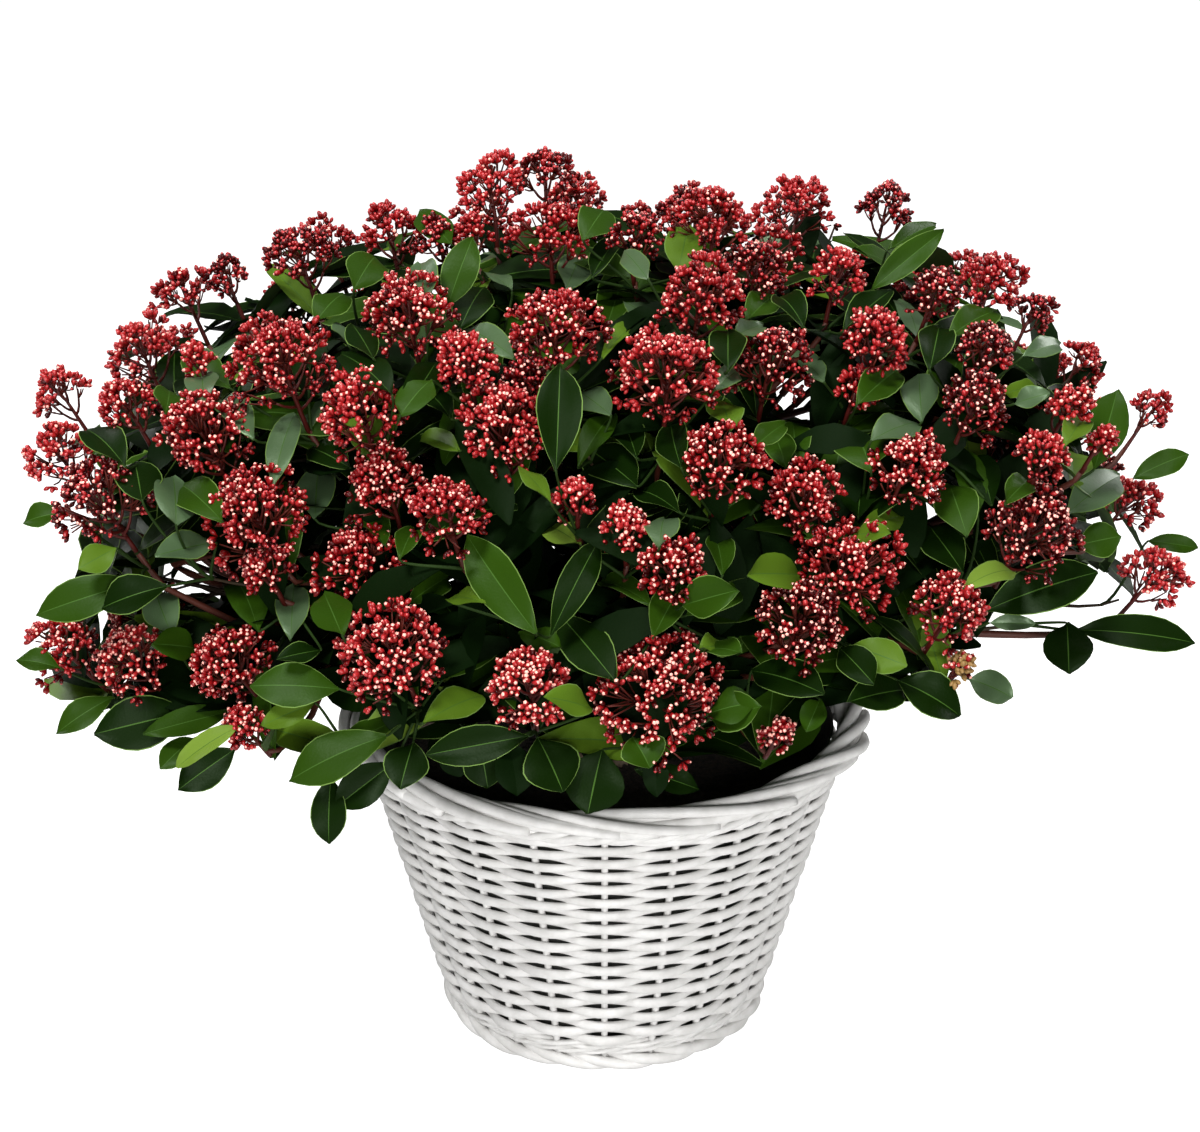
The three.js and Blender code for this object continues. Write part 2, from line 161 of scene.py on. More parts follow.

# Leaves that show from the front: across and down the view in pixels of base and tip, width in
# millimetres, and tone
# Grey-green tones here are a painted sheen, and near-black ones painted shade
FRONT_LEAVES = [
    # left
    (64, 513, 23, 523, 18, MID), (116, 548, 78, 569, 18, FRESH), (138, 582, 36, 615, 27, MID),
    (167, 586, 102, 608, 27, DEEP), (172, 635, 156, 592, 24, PAINTED_SHEEN), (216, 542, 155, 556, 23, PAINTED_SHEEN),
    (273, 485, 295, 413, 20, PAINTED_SHEEN), (254, 439, 222, 400, 24, PAINTED_SHEEN), (222, 521, 179, 484, 26, MID),
    (176, 525, 173, 476, 28, PAINTED_SHEEN), (142, 500, 135, 462, 28, DEEP), (125, 466, 87, 430, 26, DEEP),
    (205, 403, 203, 376, 22, PAINTED_SHEEN), (165, 414, 168, 390, 18, MID), (230, 388, 186, 356, 24, MID),
    (315, 519, 318, 469, 26, PAINTED_SHEEN), (350, 468, 309, 447, 22, DEEP), (258, 631, 235, 580, 26, MID),
    (291, 640, 294, 585, 22, PAINTED_SHEEN), (60, 668, 16, 660, 18, MID), (113, 697, 56, 734, 20, MID),
    (188, 711, 94, 734, 34, DEEP), (232, 711, 143, 734, 20, MID), (239, 726, 177, 768, 17, YOUNG),
    (193, 739, 160, 769, 18, MID), (235, 749, 178, 790, 26, DEEP), (321, 650, 277, 659, 14, DEEP),
    (315, 703, 262, 726, 17, FRESH), (195, 648, 152, 644, 24, MID), (331, 777, 329, 844, 22, DEEP),
    # front
    (536, 633, 467, 535, 29, MID), (551, 635, 599, 540, 20, DEEP), (616, 682, 560, 615, 27, DEEP),
    (653, 638, 685, 581, 24, MID), (687, 615, 742, 589, 22, MID), (443, 679, 507, 628, 24, MID),
    (342, 635, 324, 593, 24, MID), (339, 689, 250, 686, 27, MID), (386, 736, 289, 781, 31, MID),
    (393, 763, 336, 807, 27, DEEP), (413, 743, 400, 789, 27, DEEP), (528, 736, 426, 755, 27, DEEP),
    (423, 723, 483, 696, 22, FRESH), (538, 738, 563, 792, 34, DEEP), (602, 750, 588, 814, 36, DEEP),
    (633, 738, 650, 768, 30, MID), (636, 770, 700, 790, 18, DEEP), (592, 709, 544, 697, 20, FRESH),
    (710, 719, 761, 707, 24, MID), (703, 650, 742, 653, 18, MID), (519, 633, 562, 648, 16, MID),
    # Blades inside the rim; the near-black ones are painted shade
    (480, 742, 488, 788, 26, DEEP), (455, 742, 460, 777, 22, PAINTED_SHADE), (508, 742, 517, 796, 26, PAINTED_SHADE),
    (655, 750, 657, 797, 16, PAINTED_SHADE),
    (385, 545, 357, 513, 24, MID), (400, 560, 415, 530, 18, MID), (406, 605, 448, 577, 20, MID),
    (447, 600, 486, 604, 14, FRESH), (580, 545, 547, 526, 20, YOUNG), (651, 605, 598, 582, 20, MID),
    # middle
    (556, 470, 560, 365, 30, DEEP), (578, 467, 614, 414, 18, MID), (637, 486, 586, 447, 30, DEEP),
    (611, 415, 578, 391, 20, PAINTED_SHEEN), (460, 451, 421, 438, 18, FRESH), (681, 467, 671, 424, 24, DEEP),
    (637, 458, 625, 425, 22, DEEP), (679, 512, 637, 491, 20, DEEP), (660, 547, 665, 519, 20, PAINTED_SHEEN),
    (431, 380, 401, 415, 22, MID), (551, 503, 519, 466, 12, FRESH), (730, 430, 719, 401, 22, FRESH),
    (785, 423, 753, 448, 17, MID), (797, 467, 793, 423, 22, MID), (786, 467, 773, 434, 20, MID),
    (832, 443, 892, 405, 24, MID), (871, 470, 858, 440, 34, MID), (871, 441, 917, 423, 22, PAINTED_SHEEN),
    (858, 517, 863, 471, 26, DEEP), (862, 530, 902, 516, 17, FRESH), (851, 536, 890, 532, 14, FRESH),
    (801, 575, 748, 574, 26, FRESH), (723, 575, 715, 537, 20, MID), (684, 605, 738, 590, 28, MID),
    (728, 649, 701, 648, 18, FRESH), (752, 671, 824, 694, 30, DEEP), (708, 714, 757, 703, 24, MID),
    (840, 648, 874, 684, 24, DEEP), (853, 646, 907, 666, 22, FRESH), (905, 690, 848, 702, 26, DEEP),
    (897, 680, 960, 716, 30, DEEP), (820, 700, 806, 732, 18, MID),
    # right
    (1094, 469, 1117, 390, 25, MID), (1134, 478, 1189, 454, 20, MID), (1067, 514, 1120, 476, 26, PAINTED_SHEEN),
    (1005, 503, 1029, 481, 18, MID), (978, 514, 963, 452, 20, MID), (992, 505, 977, 457, 22, DEEP),
    (967, 536, 949, 484, 26, MID), (963, 572, 929, 526, 28, DEEP), (964, 588, 1014, 572, 18, YOUNG),
    (987, 610, 1098, 572, 32, DEEP), (1067, 623, 1069, 674, 30, DEEP), (1078, 630, 1195, 643, 27, DEEP),
    (1078, 545, 1121, 536, 22, MID), (1148, 541, 1198, 548, 15, MID), (969, 679, 1012, 698, 22, PAINTED_SHEEN),
    (922, 422, 919, 374, 24, PAINTED_SHEEN), (1005, 393, 1036, 387, 14, FRESH), (1014, 404, 1050, 393, 16, PAINTED_SHEEN),
    (1065, 447, 1083, 422, 18, FRESH), (948, 338, 997, 311, 22, MID), (1022, 357, 1060, 345, 16, PAINTED_SHEEN),
    (930, 370, 939, 327, 26, DEEP), (989, 623, 1035, 624, 12, PAINTED_SHEEN), (857, 405, 898, 370, 24, MID),
    # top
    (451, 244, 419, 211, 22, MID), (448, 306, 473, 237, 22, MID), (354, 289, 375, 257, 26, MID),
    (429, 301, 420, 263, 24, PAINTED_SHEEN), (460, 329, 484, 287, 24, DEEP), (512, 292, 482, 275, 15, PAINTED_SHEEN),
    (514, 358, 467, 329, 20, PAINTED_SHEEN), (583, 240, 604, 210, 24, MID), (592, 277, 618, 239, 20, DEEP),
    (566, 289, 580, 256, 22, PAINTED_SHEEN), (392, 395, 341, 354, 26, DEEP), (401, 414, 436, 362, 22, DEEP),
    (349, 346, 344, 327, 20, PAINTED_SHEEN), (373, 358, 352, 324, 18, DEEP), (316, 322, 344, 294, 22, MID),
    (451, 419, 423, 392, 20, DEEP), (602, 358, 642, 321, 15, FRESH), (678, 274, 689, 226, 24, FRESH),
    (648, 279, 624, 251, 16, PAINTED_SHEEN), (699, 279, 722, 266, 14, FRESH), (871, 290, 944, 230, 20, MID),
    (887, 251, 936, 225, 16, MID), (885, 269, 914, 251, 14, FRESH), (843, 331, 892, 290, 22, DEEP),
    (747, 320, 774, 295, 22, MID), (804, 327, 778, 297, 22, DEEP), (763, 325, 735, 336, 16, PAINTED_SHEEN),
    (728, 370, 728, 330, 24, DEEP), (715, 389, 737, 372, 15, PAINTED_SHEEN), (824, 382, 798, 354, 18, PAINTED_SHEEN),
]

rng = np.random.default_rng(SEED)


def unit(v):
    """Each vector divided by its own length."""
    v = np.asarray(v, float)
    return v / np.maximum(np.linalg.norm(v, axis=-1, keepdims=True), 1e-12)


def mix(a, b, t):
    """From a to b in a straight line as t goes from 0 to 1."""
    return a + (b - a) * t


def evenly_round(count):
    """Angles at even steps round a whole turn."""
    return np.arange(count) * 2 * math.pi / count


def square_to(lead, line):
    """What is left of lead when its part along line is taken away, at length one."""
    return unit(lead - line * np.sum(lead * line, axis=-1, keepdims=True))


def turned(v, axis, angle):
    """v turned about axis by angle: v cos a + (axis x v) sin a + axis (axis . v)(1 - cos a)."""
    c, s = np.cos(angle)[..., None], np.sin(angle)[..., None]
    along = np.sum(axis * v, axis=-1, keepdims=True)
    return v * c + np.cross(axis, v) * s + axis * along * (1 - c)


# ---------------- meshes


def make_piece(name, parts, materials, nodes=()):
    """One mesh object. A part is its points, its face arrays and a material number or an array
    of numbers for each face array."""
    points, corners, sizes, finishes = [], [], [], []
    start = 0
    for part_points, part_faces, part_finish in parts:
        for faces, finish in zip(part_faces, part_finish):
            corners.append((faces + start).ravel())
            sizes.append(np.full(len(faces), faces.shape[1]))
            finishes.append(np.broadcast_to(finish, len(faces)))
        points.append(part_points)
        start += len(part_points)
    points, corners = np.concatenate(points), np.concatenate(corners)
    sizes, finishes = np.concatenate(sizes), np.concatenate(finishes)
    mesh = bpy.data.meshes.new(name)
    mesh.vertices.add(len(points))
    mesh.vertices.foreach_set("co", points.astype(np.float32).ravel())
    mesh.loops.add(len(corners))
    mesh.loops.foreach_set("vertex_index", corners.astype(np.int32))
    mesh.polygons.add(len(sizes))
    mesh.polygons.foreach_set("loop_start", (np.cumsum(sizes) - sizes).astype(np.int32))
    mesh.polygons.foreach_set("material_index", finishes.astype(np.int32))
    mesh.polygons.foreach_set("use_smooth", np.ones(len(sizes), bool))
    for material in materials:
        mesh.materials.append(material)
    mesh.update(calc_edges=True)
    piece = bpy.data.objects.new(name, mesh)
    bpy.context.scene.collection.objects.link(piece)
    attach(piece, "root")
    if nodes:
        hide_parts(*nodes)


def tube_faces(steps, sides, count=1, closed=False):
    """Faces of many tubes, each of steps rings of sides points: quads between the rings and,
    unless each tube runs back into itself, a flat face at both ends."""
    spans = steps if closed else steps - 1
    tube, step, side = np.meshgrid(
        np.arange(count), np.arange(spans), np.arange(sides), indexing="ij"
    )
    start, beside = tube * steps * sides, (side + 1) % sides
    low, high = start + step * sides, start + (step + 1) % steps * sides
    quads = np.stack([low + side, low + beside, high + beside, high + side], axis=-1)
    if closed:
        return [quads.reshape(-1, 4)]
    starts, around = np.arange(count)[:, None] * steps * sides, np.arange(sides)
    return [quads.reshape(-1, 4), starts + around[::-1], starts + (steps - 1) * sides + around]


def rods(paths, girth, sides, lead, flat=1.0, closed=False, finish=0):
    """Rods carried along many paths at once. A ring stands square to each point's tangent:
    point + girth (cos a * first + flat sin a * second), where first is the lead made square to
    the tangent and second is tangent x first. Open rods get a flat face at each end."""
    paths = np.asarray(paths, float)
    count, steps, _ = paths.shape
    if closed:
        tangent = unit(np.roll(paths, -1, axis=1) - np.roll(paths, 1, axis=1))
    else:
        tangent = unit(np.gradient(paths, axis=1))
    first = square_to(np.broadcast_to(lead, paths.shape), tangent)
    second = np.cross(tangent, first)
    angle = evenly_round(sides)
    girth = np.broadcast_to(girth, (count, steps))[..., None, None]
    flat = np.broadcast_to(flat, (count, steps))[..., None, None]
    ring = first[:, :, None] * np.cos(angle)[:, None]
    ring = ring + flat * second[:, :, None] * np.sin(angle)[:, None]
    points = (paths[:, :, None] + girth * ring).reshape(-1, 3)
    faces = tube_faces(steps, sides, count, closed)
    return points, faces, [finish] * len(faces)


def place(radius, azimuth, height):
    """Points at that radius, azimuth from the front to the right, and height."""
    return np.stack(
        np.broadcast_arrays(radius * np.sin(azimuth), -radius * np.cos(azimuth), height), axis=-1
    )


# ---------------- finishes


def unevenness_group():
    """A node group: two sizes of noise on the piece's own coordinates, as an amount from 0 to 1
    and as a surface normal."""
    group = bpy.data.node_groups.new("unevenness", "ShaderNodeTree")
    for label, kind, start in (
        ("Scale", "NodeSocketFloat", 200.0),
        ("Fine Scale", "NodeSocketFloat", 1500.0),
        ("Relief", "NodeSocketFloat", 0.3),
        ("Depth", "NodeSocketFloat", 0.0005),
    ):
        socket = group.interface.new_socket(label, in_out="INPUT", socket_type=kind)
        socket.default_value = start
    group.interface.new_socket("Amount", in_out="OUTPUT", socket_type="NodeSocketFloat")
    group.interface.new_socket("Normal", in_out="OUTPUT", socket_type="NodeSocketVector")
    nodes, links = group.nodes, group.links
    given, put = nodes.new("NodeGroupInput"), nodes.new("NodeGroupOutput")
    where = nodes.new("ShaderNodeTexCoord")
    broad, fine = nodes.new("ShaderNodeTexNoise"), nodes.new("ShaderNodeTexNoise")
    broad.inputs["Detail"].default_value = 3
    fine.inputs["Detail"].default_value = 2
    both, bump = nodes.new("ShaderNodeMath"), nodes.new("ShaderNodeBump")
    both.operation = "ADD"
    for start, output, end, socket in (
        (where, "Object", broad, "Vector"),
        (where, "Object", fine, "Vector"),
        (given, "Scale", broad, "Scale"),
        (given, "Fine Scale", fine, "Scale"),
        (broad, "Fac", both, 0),
        (fine, "Fac", both, 1),
        (both, 0, bump, "Height"),
        (given, "Relief", bump, "Strength"),
        (given, "Depth", bump, "Distance"),
        (broad, "Fac", put, "Amount"),
        (bump, "Normal", put, "Normal"),
    ):
        links.new(start.outputs[output], end.inputs[socket])
    return group


unevenness = unevenness_group()
PATCH_EDGES = (0.35, 0.62)  # amounts of the noise between which one colour gives way to the other


def finish(name, colour, roughness, grain=None, second=None, **sockets):
    """A Principled material of one colour, or patchy between it and a second one, with any other
    socket set by its name. Its grain is the scale of the patches, that of the fine relief, and
    the relief's strength and depth."""
    material = bpy.data.materials.new(name)
    material.use_nodes = True
    nodes, links = material.node_tree.nodes, material.node_tree.links
    shader = nodes["Principled BSDF"]
    shader.inputs["Base Color"].default_value = (*colour, 1)
    shader.inputs["Roughness"].default_value = roughness
    for label, value in sockets.items():
        shader.inputs[label.replace("_", " ")].default_value = value
    material.diffuse_color = (*colour, 1)
    if grain is None:
        return material
    uneven = nodes.new("ShaderNodeGroup")
    uneven.node_tree = unevenness
    for label, value in zip(("Scale", "Fine Scale", "Relief", "Depth"), grain):
        uneven.inputs[label].default_value = value
    links.new(uneven.outputs["Normal"], shader.inputs["Normal"])
    if second is not None:
        ramp = nodes.new("ShaderNodeValToRGB")
        for element, at, shade in zip(ramp.color_ramp.elements, PATCH_EDGES, (second, colour)):
            element.position = at
            element.color = (*shade, 1)
        links.new(uneven.outputs["Amount"], ramp.inputs["Fac"])
        links.new(ramp.outputs["Color"], shader.inputs["Base Color"])
    return material


white_willow = finish(
    "white_painted_willow", (0.700, 0.690, 0.675), 0.5, (90, 900, 0.35, 0.0004),
    second=(0.600, 0.590, 0.572), Specular_IOR_Level=0.35,
)
black_film = finish(
    "black_liner_film", (0.045, 0.047, 0.040), 0.45, (120, 600, 0.4, 0.0006),
    second=(0.026, 0.027, 0.024),
)
potting_mix = finish(
    "potting_mix", (0.034, 0.024, 0.016), 0.95, (350, 1400, 0.9, 0.0015),
    second=(0.008, 0.006, 0.004),
)
bark = finish(
    "skimmia_bark", (0.20, 0.15, 0.10), 0.85, (260, 1600, 0.7, 0.0008), second=(0.10, 0.07, 0.045)
)

# ---------------- basket


def wall_radius(z):
    """Radius of the wall's outer face at height z: a straight flare, tucked in at the foot."""
    tuck = np.clip(1 - z / WALL_TUCK_HEIGHT, 0, 1)
    return WALL_BASE_RADIUS + WALL_FLARE * z - WALL_TUCK * tuck**2


def ring_wave(azimuth, size, waves, rows=1):
    """A hand-woven unevenness for each row round a ring: a sum of sines with random starts, each
    smaller than the one before."""
    turn = rng.uniform(*ANY_TURN, (rows, len(waves), 1))
    return size * sum(np.sin(n * azimuth + turn[:, i]) / (1 + i) for i, n in enumerate(waves))


def varied(between):
    """A random number for the rod of each stake."""
    return rng.uniform(*between, (STAKES, 1))


def basket_rods(radius, azimuth, height, girth, sides=8, **shape):
    """Rods along paths given by radius, azimuth and height, with the first direction of their
    rings outwards."""
    outward = place(1.0, azimuth, 0.0)
    return rods(place(radius, azimuth, height), girth, sides, outward, **shape)


def woven_wall():
    """Rows of one rod each that pass in front of one stake and behind the next: the row's
    radius swings as the cosine of half the stake count times the azimuth, the other way round
    on every second row. A rod looks tallest over a stake, where its neighbours are behind."""
    azimuth = evenly_round(STAKES * POINTS_PER_BAY)
    pitch = mix(*ROW_PITCHES, np.arange(WEAVE_ROWS) / (WEAVE_ROWS - 1))
    level = WEAVE_BOTTOM + np.cumsum(pitch) - pitch[0] / 2
    z = level[:, None] + ring_wave(azimuth, *SHARED_WAVE)
    z = z + ring_wave(azimuth, *OWN_WAVE, WEAVE_ROWS)
    way = np.where(np.arange(WEAVE_ROWS) % 2, -1.0, 1.0)[:, None]
    phase = np.cos(STAKES / 2 * azimuth)
    swing = way * np.sign(phase) * np.abs(phase) ** SWING_POWER
    radius = wall_radius(z) - STAKE_DEPTH + WEAVE_SWING * swing
    radius = radius + ring_wave(azimuth, *DEPTH_WAVE, WEAVE_ROWS)
    half_height = pitch[:, None] * (ROW_HALF + ROW_BULGE * swing)
    half_height = half_height * (1 + rng.uniform(-ROW_VARIETY, ROW_VARIETY, (WEAVE_ROWS, 1)))
    flat = half_height / WEAVER_HALF_DEPTH
    return basket_rods(radius, azimuth, z, WEAVER_HALF_DEPTH, flat=flat, closed=True)


def stakes():
    """Upright rods in the middle of the wall, one to each bay."""
    azimuth, z = evenly_round(STAKES)[:, None], np.linspace(*STAKE_ENDS, STAKE_STEPS)
    return basket_rods(wall_radius(z) - STAKE_DEPTH, azimuth, z, STAKE_RADIUS, STAKE_SIDES)


def twisted_ring(radius, height, spread, strands, twists, girth):
    """Rods laid round the ring like a rope: each goes round the ring's core as the azimuth
    grows, at core + spread (cos psi outward + sin psi up), psi = twists * azimuth + its own
    share of a turn."""
    azimuth = np.linspace(0, 2 * math.pi, twists * POINTS_PER_TWIST, endpoint=False)
    psi = twists * azimuth + evenly_round(strands)[:, None]
    height = height + spread * np.sin(psi) + ring_wave(azimuth, *TWIST_WAVE)
    return basket_rods(radius + spread * np.cos(psi), azimuth, height, girth, closed=True)


def rolled_border():
    """Each stake's tip is laid over to the right and rolled over the ones before it: it goes
    round the border's core from inside, over the top and down the outside while it runs on for
    several bays, and thins to a cut tip. Every third tip ends on the outer face, and on the
    right the tips curl over in a shorter run."""
    start = evenly_round(STAKES)[:, None] + varied(STARTS)
    t = np.linspace(0, 1, BORDER_STEPS)
    curl = np.exp(-(((start - CURL_AZIMUTH) / CURL_SPREAD) ** 2))
    azimuth = start + BORDER_RUN * varied(RUNS) * (1 - CURL_SHORTENS * curl) * t
    last_roll = np.where(np.arange(STAKES) % 3, ROLL_END, OUTER_ROLL_END)[:, None]
    roll = np.radians(mix(ROLL_START, last_roll, t**ROLL_POWER)) + varied(ROLLS)
    reach = mix(*BORDER_REACHES, t) * varied(REACHES) * (1 + CURL_WIDENS * curl)
    radius = BORDER_RADIUS + reach * np.cos(roll)
    height = BORDER_HEIGHT + BORDER_SQUASH * reach * np.sin(roll)
    girth = mix(*BORDER_GIRTHS, t**2) * varied(GIRTHS)
    return basket_rods(radius, azimuth, height, girth, BORDER_SIDES, flat=BORDER_FLAT)


def border_core():
    """Two plain hoops that fill the middle of the border."""
    azimuth = np.linspace(0, 2 * math.pi, CORE_STEPS, endpoint=False)
    radius, height = BORDER_RADIUS + CORE_OUT, BORDER_HEIGHT + CORE_UP
    return basket_rods(radius, azimuth, height, CORE_GIRTH, closed=True)


def foot_border():
    """Each rod starts behind a stake, comes out past the next one and lies along the foot until
    it passes behind the stake after the next."""
    t = np.linspace(0, 1, FOOT_STEPS)
    span = FOOT_BAYS * 2 * math.pi / STAKES
    azimuth = evenly_round(STAKES)[:, None] + varied(FOOT_STARTS) + span * t
    out = np.sin(math.pi * np.clip(t * FOOT_TURNS_IN, 0, 1)) ** FOOT_POWER
    radius = FOOT_RADIUS - FOOT_BEHIND + FOOT_OUT * out
    radius = radius + FOOT_RIPPLE * np.sin(FOOT_RIPPLES * azimuth)
    height = mix(*FOOT_HEIGHTS, np.clip(t * FOOT_COMES_DOWN, 0, 1)) + varied(FOOT_LIFTS)
    return basket_rods(radius, azimuth, height, mix(*FOOT_GIRTHS, t) * varied(FOOT_VARIETY))


for name, node, parts in (
    ("woven_wall", "basket_wall", [woven_wall(), stakes()]),
    ("top_border", "basket_rim", [rolled_border(), border_core(), twisted_ring(*RIM_TWIST)]),
    ("foot_border", "basket_foot", [foot_border(), *(twisted_ring(*r) for r in FOOT_TWISTS)]),
):
    make_piece(name, parts, [white_willow], [node])


def soil():
    """A closed body of revolution with a crumbled top: rings out from the middle of the top,
    over the edge and in again underneath, each point of the top raised or sunk at random."""
    across = np.linspace(SOIL_MIDDLE, SOIL_RADIUS, SOIL_RINGS)
    radius = np.concatenate([across, [SOIL_FOOT_RADIUS, SOIL_MIDDLE]])
    height = np.repeat([SOIL_TOP, SOIL_FOOT], [SOIL_RINGS, 2])
    points = place(radius[:, None], evenly_round(SOIL_SIDES), height[:, None])
    crumb = rng.uniform(*CRUMBS, (SOIL_RINGS, SOIL_SIDES))
    crumb[0] = crumb[0].mean()
    crumb[-1] = EDGE_CRUMB
    points[:SOIL_RINGS, :, 2] += crumb
    quads, *caps = tube_faces(len(radius), SOIL_SIDES)
    faces = [quads[:, [0, 3, 2, 1]], *(cap[:, ::-1] for cap in caps)]
    return points.reshape(-1, 3), faces, [0] * len(faces)


make_piece("potting_mix", [soil()], [potting_mix], ["root_ball"])


def repaint(node, material):
    """A node that keeps its shape gets the material in each of its slots."""
    mesh_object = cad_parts[node]
    if not mesh_object.material_slots:
        mesh_object.data.materials.append(material)
    for material_slot in mesh_object.material_slots:
        material_slot.material = material


repaint("liner", black_film)
repaint("basket_floor", white_willow)

# ---------------- limbs


def bough_line(name):
    """The middle of each ring of a bough in the frame, from the fork outwards."""
    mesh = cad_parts[name].data
    points = np.empty(len(mesh.vertices) * 3)
    mesh.vertices.foreach_get("co", points)
    points = np.unique(points.reshape(-1, 3).round(6), axis=0)
    order = np.argsort(np.linalg.norm(points - FORK, axis=1))
    return np.array([ring.mean(axis=0) for ring in np.array_split(points[order], BOUGH_RINGS)])


node_names = sorted(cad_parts)
bough_names = [n for n in node_names if n.startswith("bough")]
mass_names = [n for n in node_names if n.startswith("mass")]
bough_lines = np.array([bough_line(n) for n in bough_names])


def evenly_along(knots, steps):
    """Points at even parameters along straight runs between knots."""
    at = np.linspace(0, len(knots) - 1, steps)
    low = np.minimum(at.astype(int), len(knots) - 2)
    return mix(knots[low], knots[low + 1], (at - low)[:, None])


def barked_limb(line, girth, sides):
    """A tube along line whose radius is girth times one plus long, wandering ridges and a little
    roughness."""
    tangent = unit(np.gradient(line, axis=0))
    lead = unit(np.cross(tangent, ANY_WAY))
    second = np.cross(tangent, lead)
    angle, along = evenly_round(sides), np.arange(len(line))[:, None]
    ridge = sum(high * np.sin(n * angle + drift * along) for n, high, drift in BARK_RIDGES)
    ridge = ridge + rng.uniform(-BARK_ROUGHNESS, BARK_ROUGHNESS, (len(line), sides))
    size = girth[:, None] * (1 + ridge)
    ring = lead[:, None] * np.cos(angle)[:, None] + second[:, None] * np.sin(angle)[:, None]
    points = line[:, None] + size[..., None] * ring
    return points.reshape(-1, 3), tube_faces(len(line), sides), [0, 0, 0]


def trunk_limb():
    """The stem from its root flare to the swollen fork."""
    t = np.linspace(0, 1, TRUNK_STEPS)
    line = mix(TRUNK_FOOT, FORK + FORK_TOP * UP, t[:, None])
    flare = FLARE * np.exp(-t / FLARE_REACH)
    knob = KNOB * np.exp(-(((t - KNOB_AT) / KNOB_REACH) ** 2))
    girth = (TRUNK_RADIUS + flare + knob) * np.clip((1 - t) / TRUNK_END, NARROWED, 1) ** 0.5
    return barked_limb(line, girth, TRUNK_SIDES)


def bough_limb(line):
    """A bough from inside the fork to its end in the foliage, tapering."""
    line = evenly_along(np.vstack([mix(FORK, line[0], BOUGH_START), line]), BOUGH_STEPS)
    return barked_limb(line, np.linspace(*BOUGH_GIRTHS, BOUGH_STEPS), BOUGH_SIDES)


limbs = [trunk_limb(), *(bough_limb(line) for line in bough_lines)]
make_piece("barked_limbs", limbs, [bark], ["trunk", *bough_names])

# ---------------- crown

AHEAD = np.array([0.0, math.cos(CAMERA_PITCH), -math.sin(CAMERA_PITCH)])
UPWARD = np.array([0.0, math.sin(CAMERA_PITCH), math.cos(CAMERA_PITCH)])
CROWN_MIDDLE = np.array([0.0, 0.01, 0.33])
CROWN_HEART = np.array([0.0, 0.01, 0.20])
WHORL_DROP = np.array([0.0, 0.0, -0.020])  # how far a whorl's lowest leaves hang below it
OUTSIDE = 0.8  # a distance from the crown's middle that is well outside it
LOWEST_SHOOT = 0.225
CLEFT = 24  # pixels to either side in which a neighbouring mass fills a cleft
SEEN_RANGE, SEEN_STEPS = (0.9, 1.9), 120  # metres from the camera in which the crown lies
GAP_CLEARANCE = 0.4  # how far leaves' midribs keep from a gap, as a share of their width
FRONT_LIFT, HIDDEN_LIFT, LEAFY_LIFT = 0.95, 0.8, 0.3  # how strongly shoots turn up
HEAD_TRIES, HEAD_SPACING = 9000, 0.066
LEAFY_TRIES, LEAFY_SPACING = 12000, 0.047
TURNED_AWAY, LOWEST_HEAD, MOST_DOWN = 0.03, 0.25, -0.25  # for a hidden head's place
LEAFY_MOST_DOWN = -0.6
HIDDEN_WIDTHS, HIDDEN_OPENNESS, HIDDEN_TILT = (0.044, 0.066), (0, 0.6), 0.08
HEAD_DEPTH, HIDDEN_DEPTH = 0.03, 0.30  # of a head's middle in the crown, as a share of its width
SUNK_FOOT = 0.9  # how far below a hidden head's middle it must be clear of gaps, of its width
SINK_STEPS, SINK_STEP = 14, 0.004
SIDE_ON, OPENING_RANGE = 0.50, 0.30  # a head seen from the side shows more of its branches
camera_at = CAMERA_TARGET - CAMERA_DISTANCE * AHEAD

# The plant's outline in the view, in pixels across and down, and the crown's lower edge
OUTLINE = np.array([
    (20, 512), (28, 480), (34, 420), (44, 385), (96, 345), (150, 300), (186, 268), (262, 240),
    (300, 250), (352, 262), (412, 206), (452, 220), (500, 250), (560, 225), (606, 204), (640, 232),
    (690, 224), (770, 236), (870, 226), (944, 222), (946, 246), (1000, 290), (1052, 330), (1062, 348),
    (1036, 376), (1080, 410), (1112, 384), (1122, 420), (1158, 440), (1192, 452), (1150, 500),
    (1200, 536), (1200, 556), (1140, 580), (1150, 612), (1198, 628), (1196, 650), (1120, 664),
    (1066, 680), (1030, 640), (1000, 660), (1014, 700), (965, 722), (900, 702), (850, 704),
    (808, 735), (756, 768), (700, 764), (600, 758), (540, 752), (470, 740), (428, 752), (400, 778),
    (345, 800), (328, 848), (316, 800), (280, 780), (170, 794), (160, 762), (56, 736), (20, 668),
    (32, 618), (92, 566), (60, 530),
])
# Gaps where the background shows through the crown: across, down and radius in pixels
SKY_GAPS = np.array([
    (1014, 624, 20), (1044, 619, 9), (1094, 614, 8), (1128, 452, 12), (206, 580, 9), (333, 720, 8),
    (553, 567, 8), (935, 520, 6), (801, 404, 2), (1057, 593, 7), (98, 416, 9), (436, 252, 6),
])
HEM_ACROSS = [0, 60, 170, 325, 395, 430, 520, 560, 640, 700, 760, 800, 845, 985, 1072, 1200]
HEM_DOWN = [625, 695, 735, 765, 762, 725, 725, 745, 755, 748, 755, 725, 688, 672, 645, 635]


def crown_surface():
    """All the foliage masses as one tree of faces for rays."""
    points, faces, start = [], [], 0
    for name in mass_names:
        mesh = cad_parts[name].data
        points += [v.co.copy() for v in mesh.vertices]
        faces += [[i + start for i in p.vertices] for p in mesh.polygons]
        start += len(mesh.vertices)
    return BVHTree.FromPolygons(points, faces)


crown = crown_surface()


def sight_line(across, down):
    """The direction in which the camera sees a pixel."""
    right = np.array([across - IMAGE_WIDTH / 2, 0.0, 0.0])
    return unit(AHEAD * FOCAL_PIXELS + right + UPWARD * (IMAGE_HEIGHT / 2 - down))


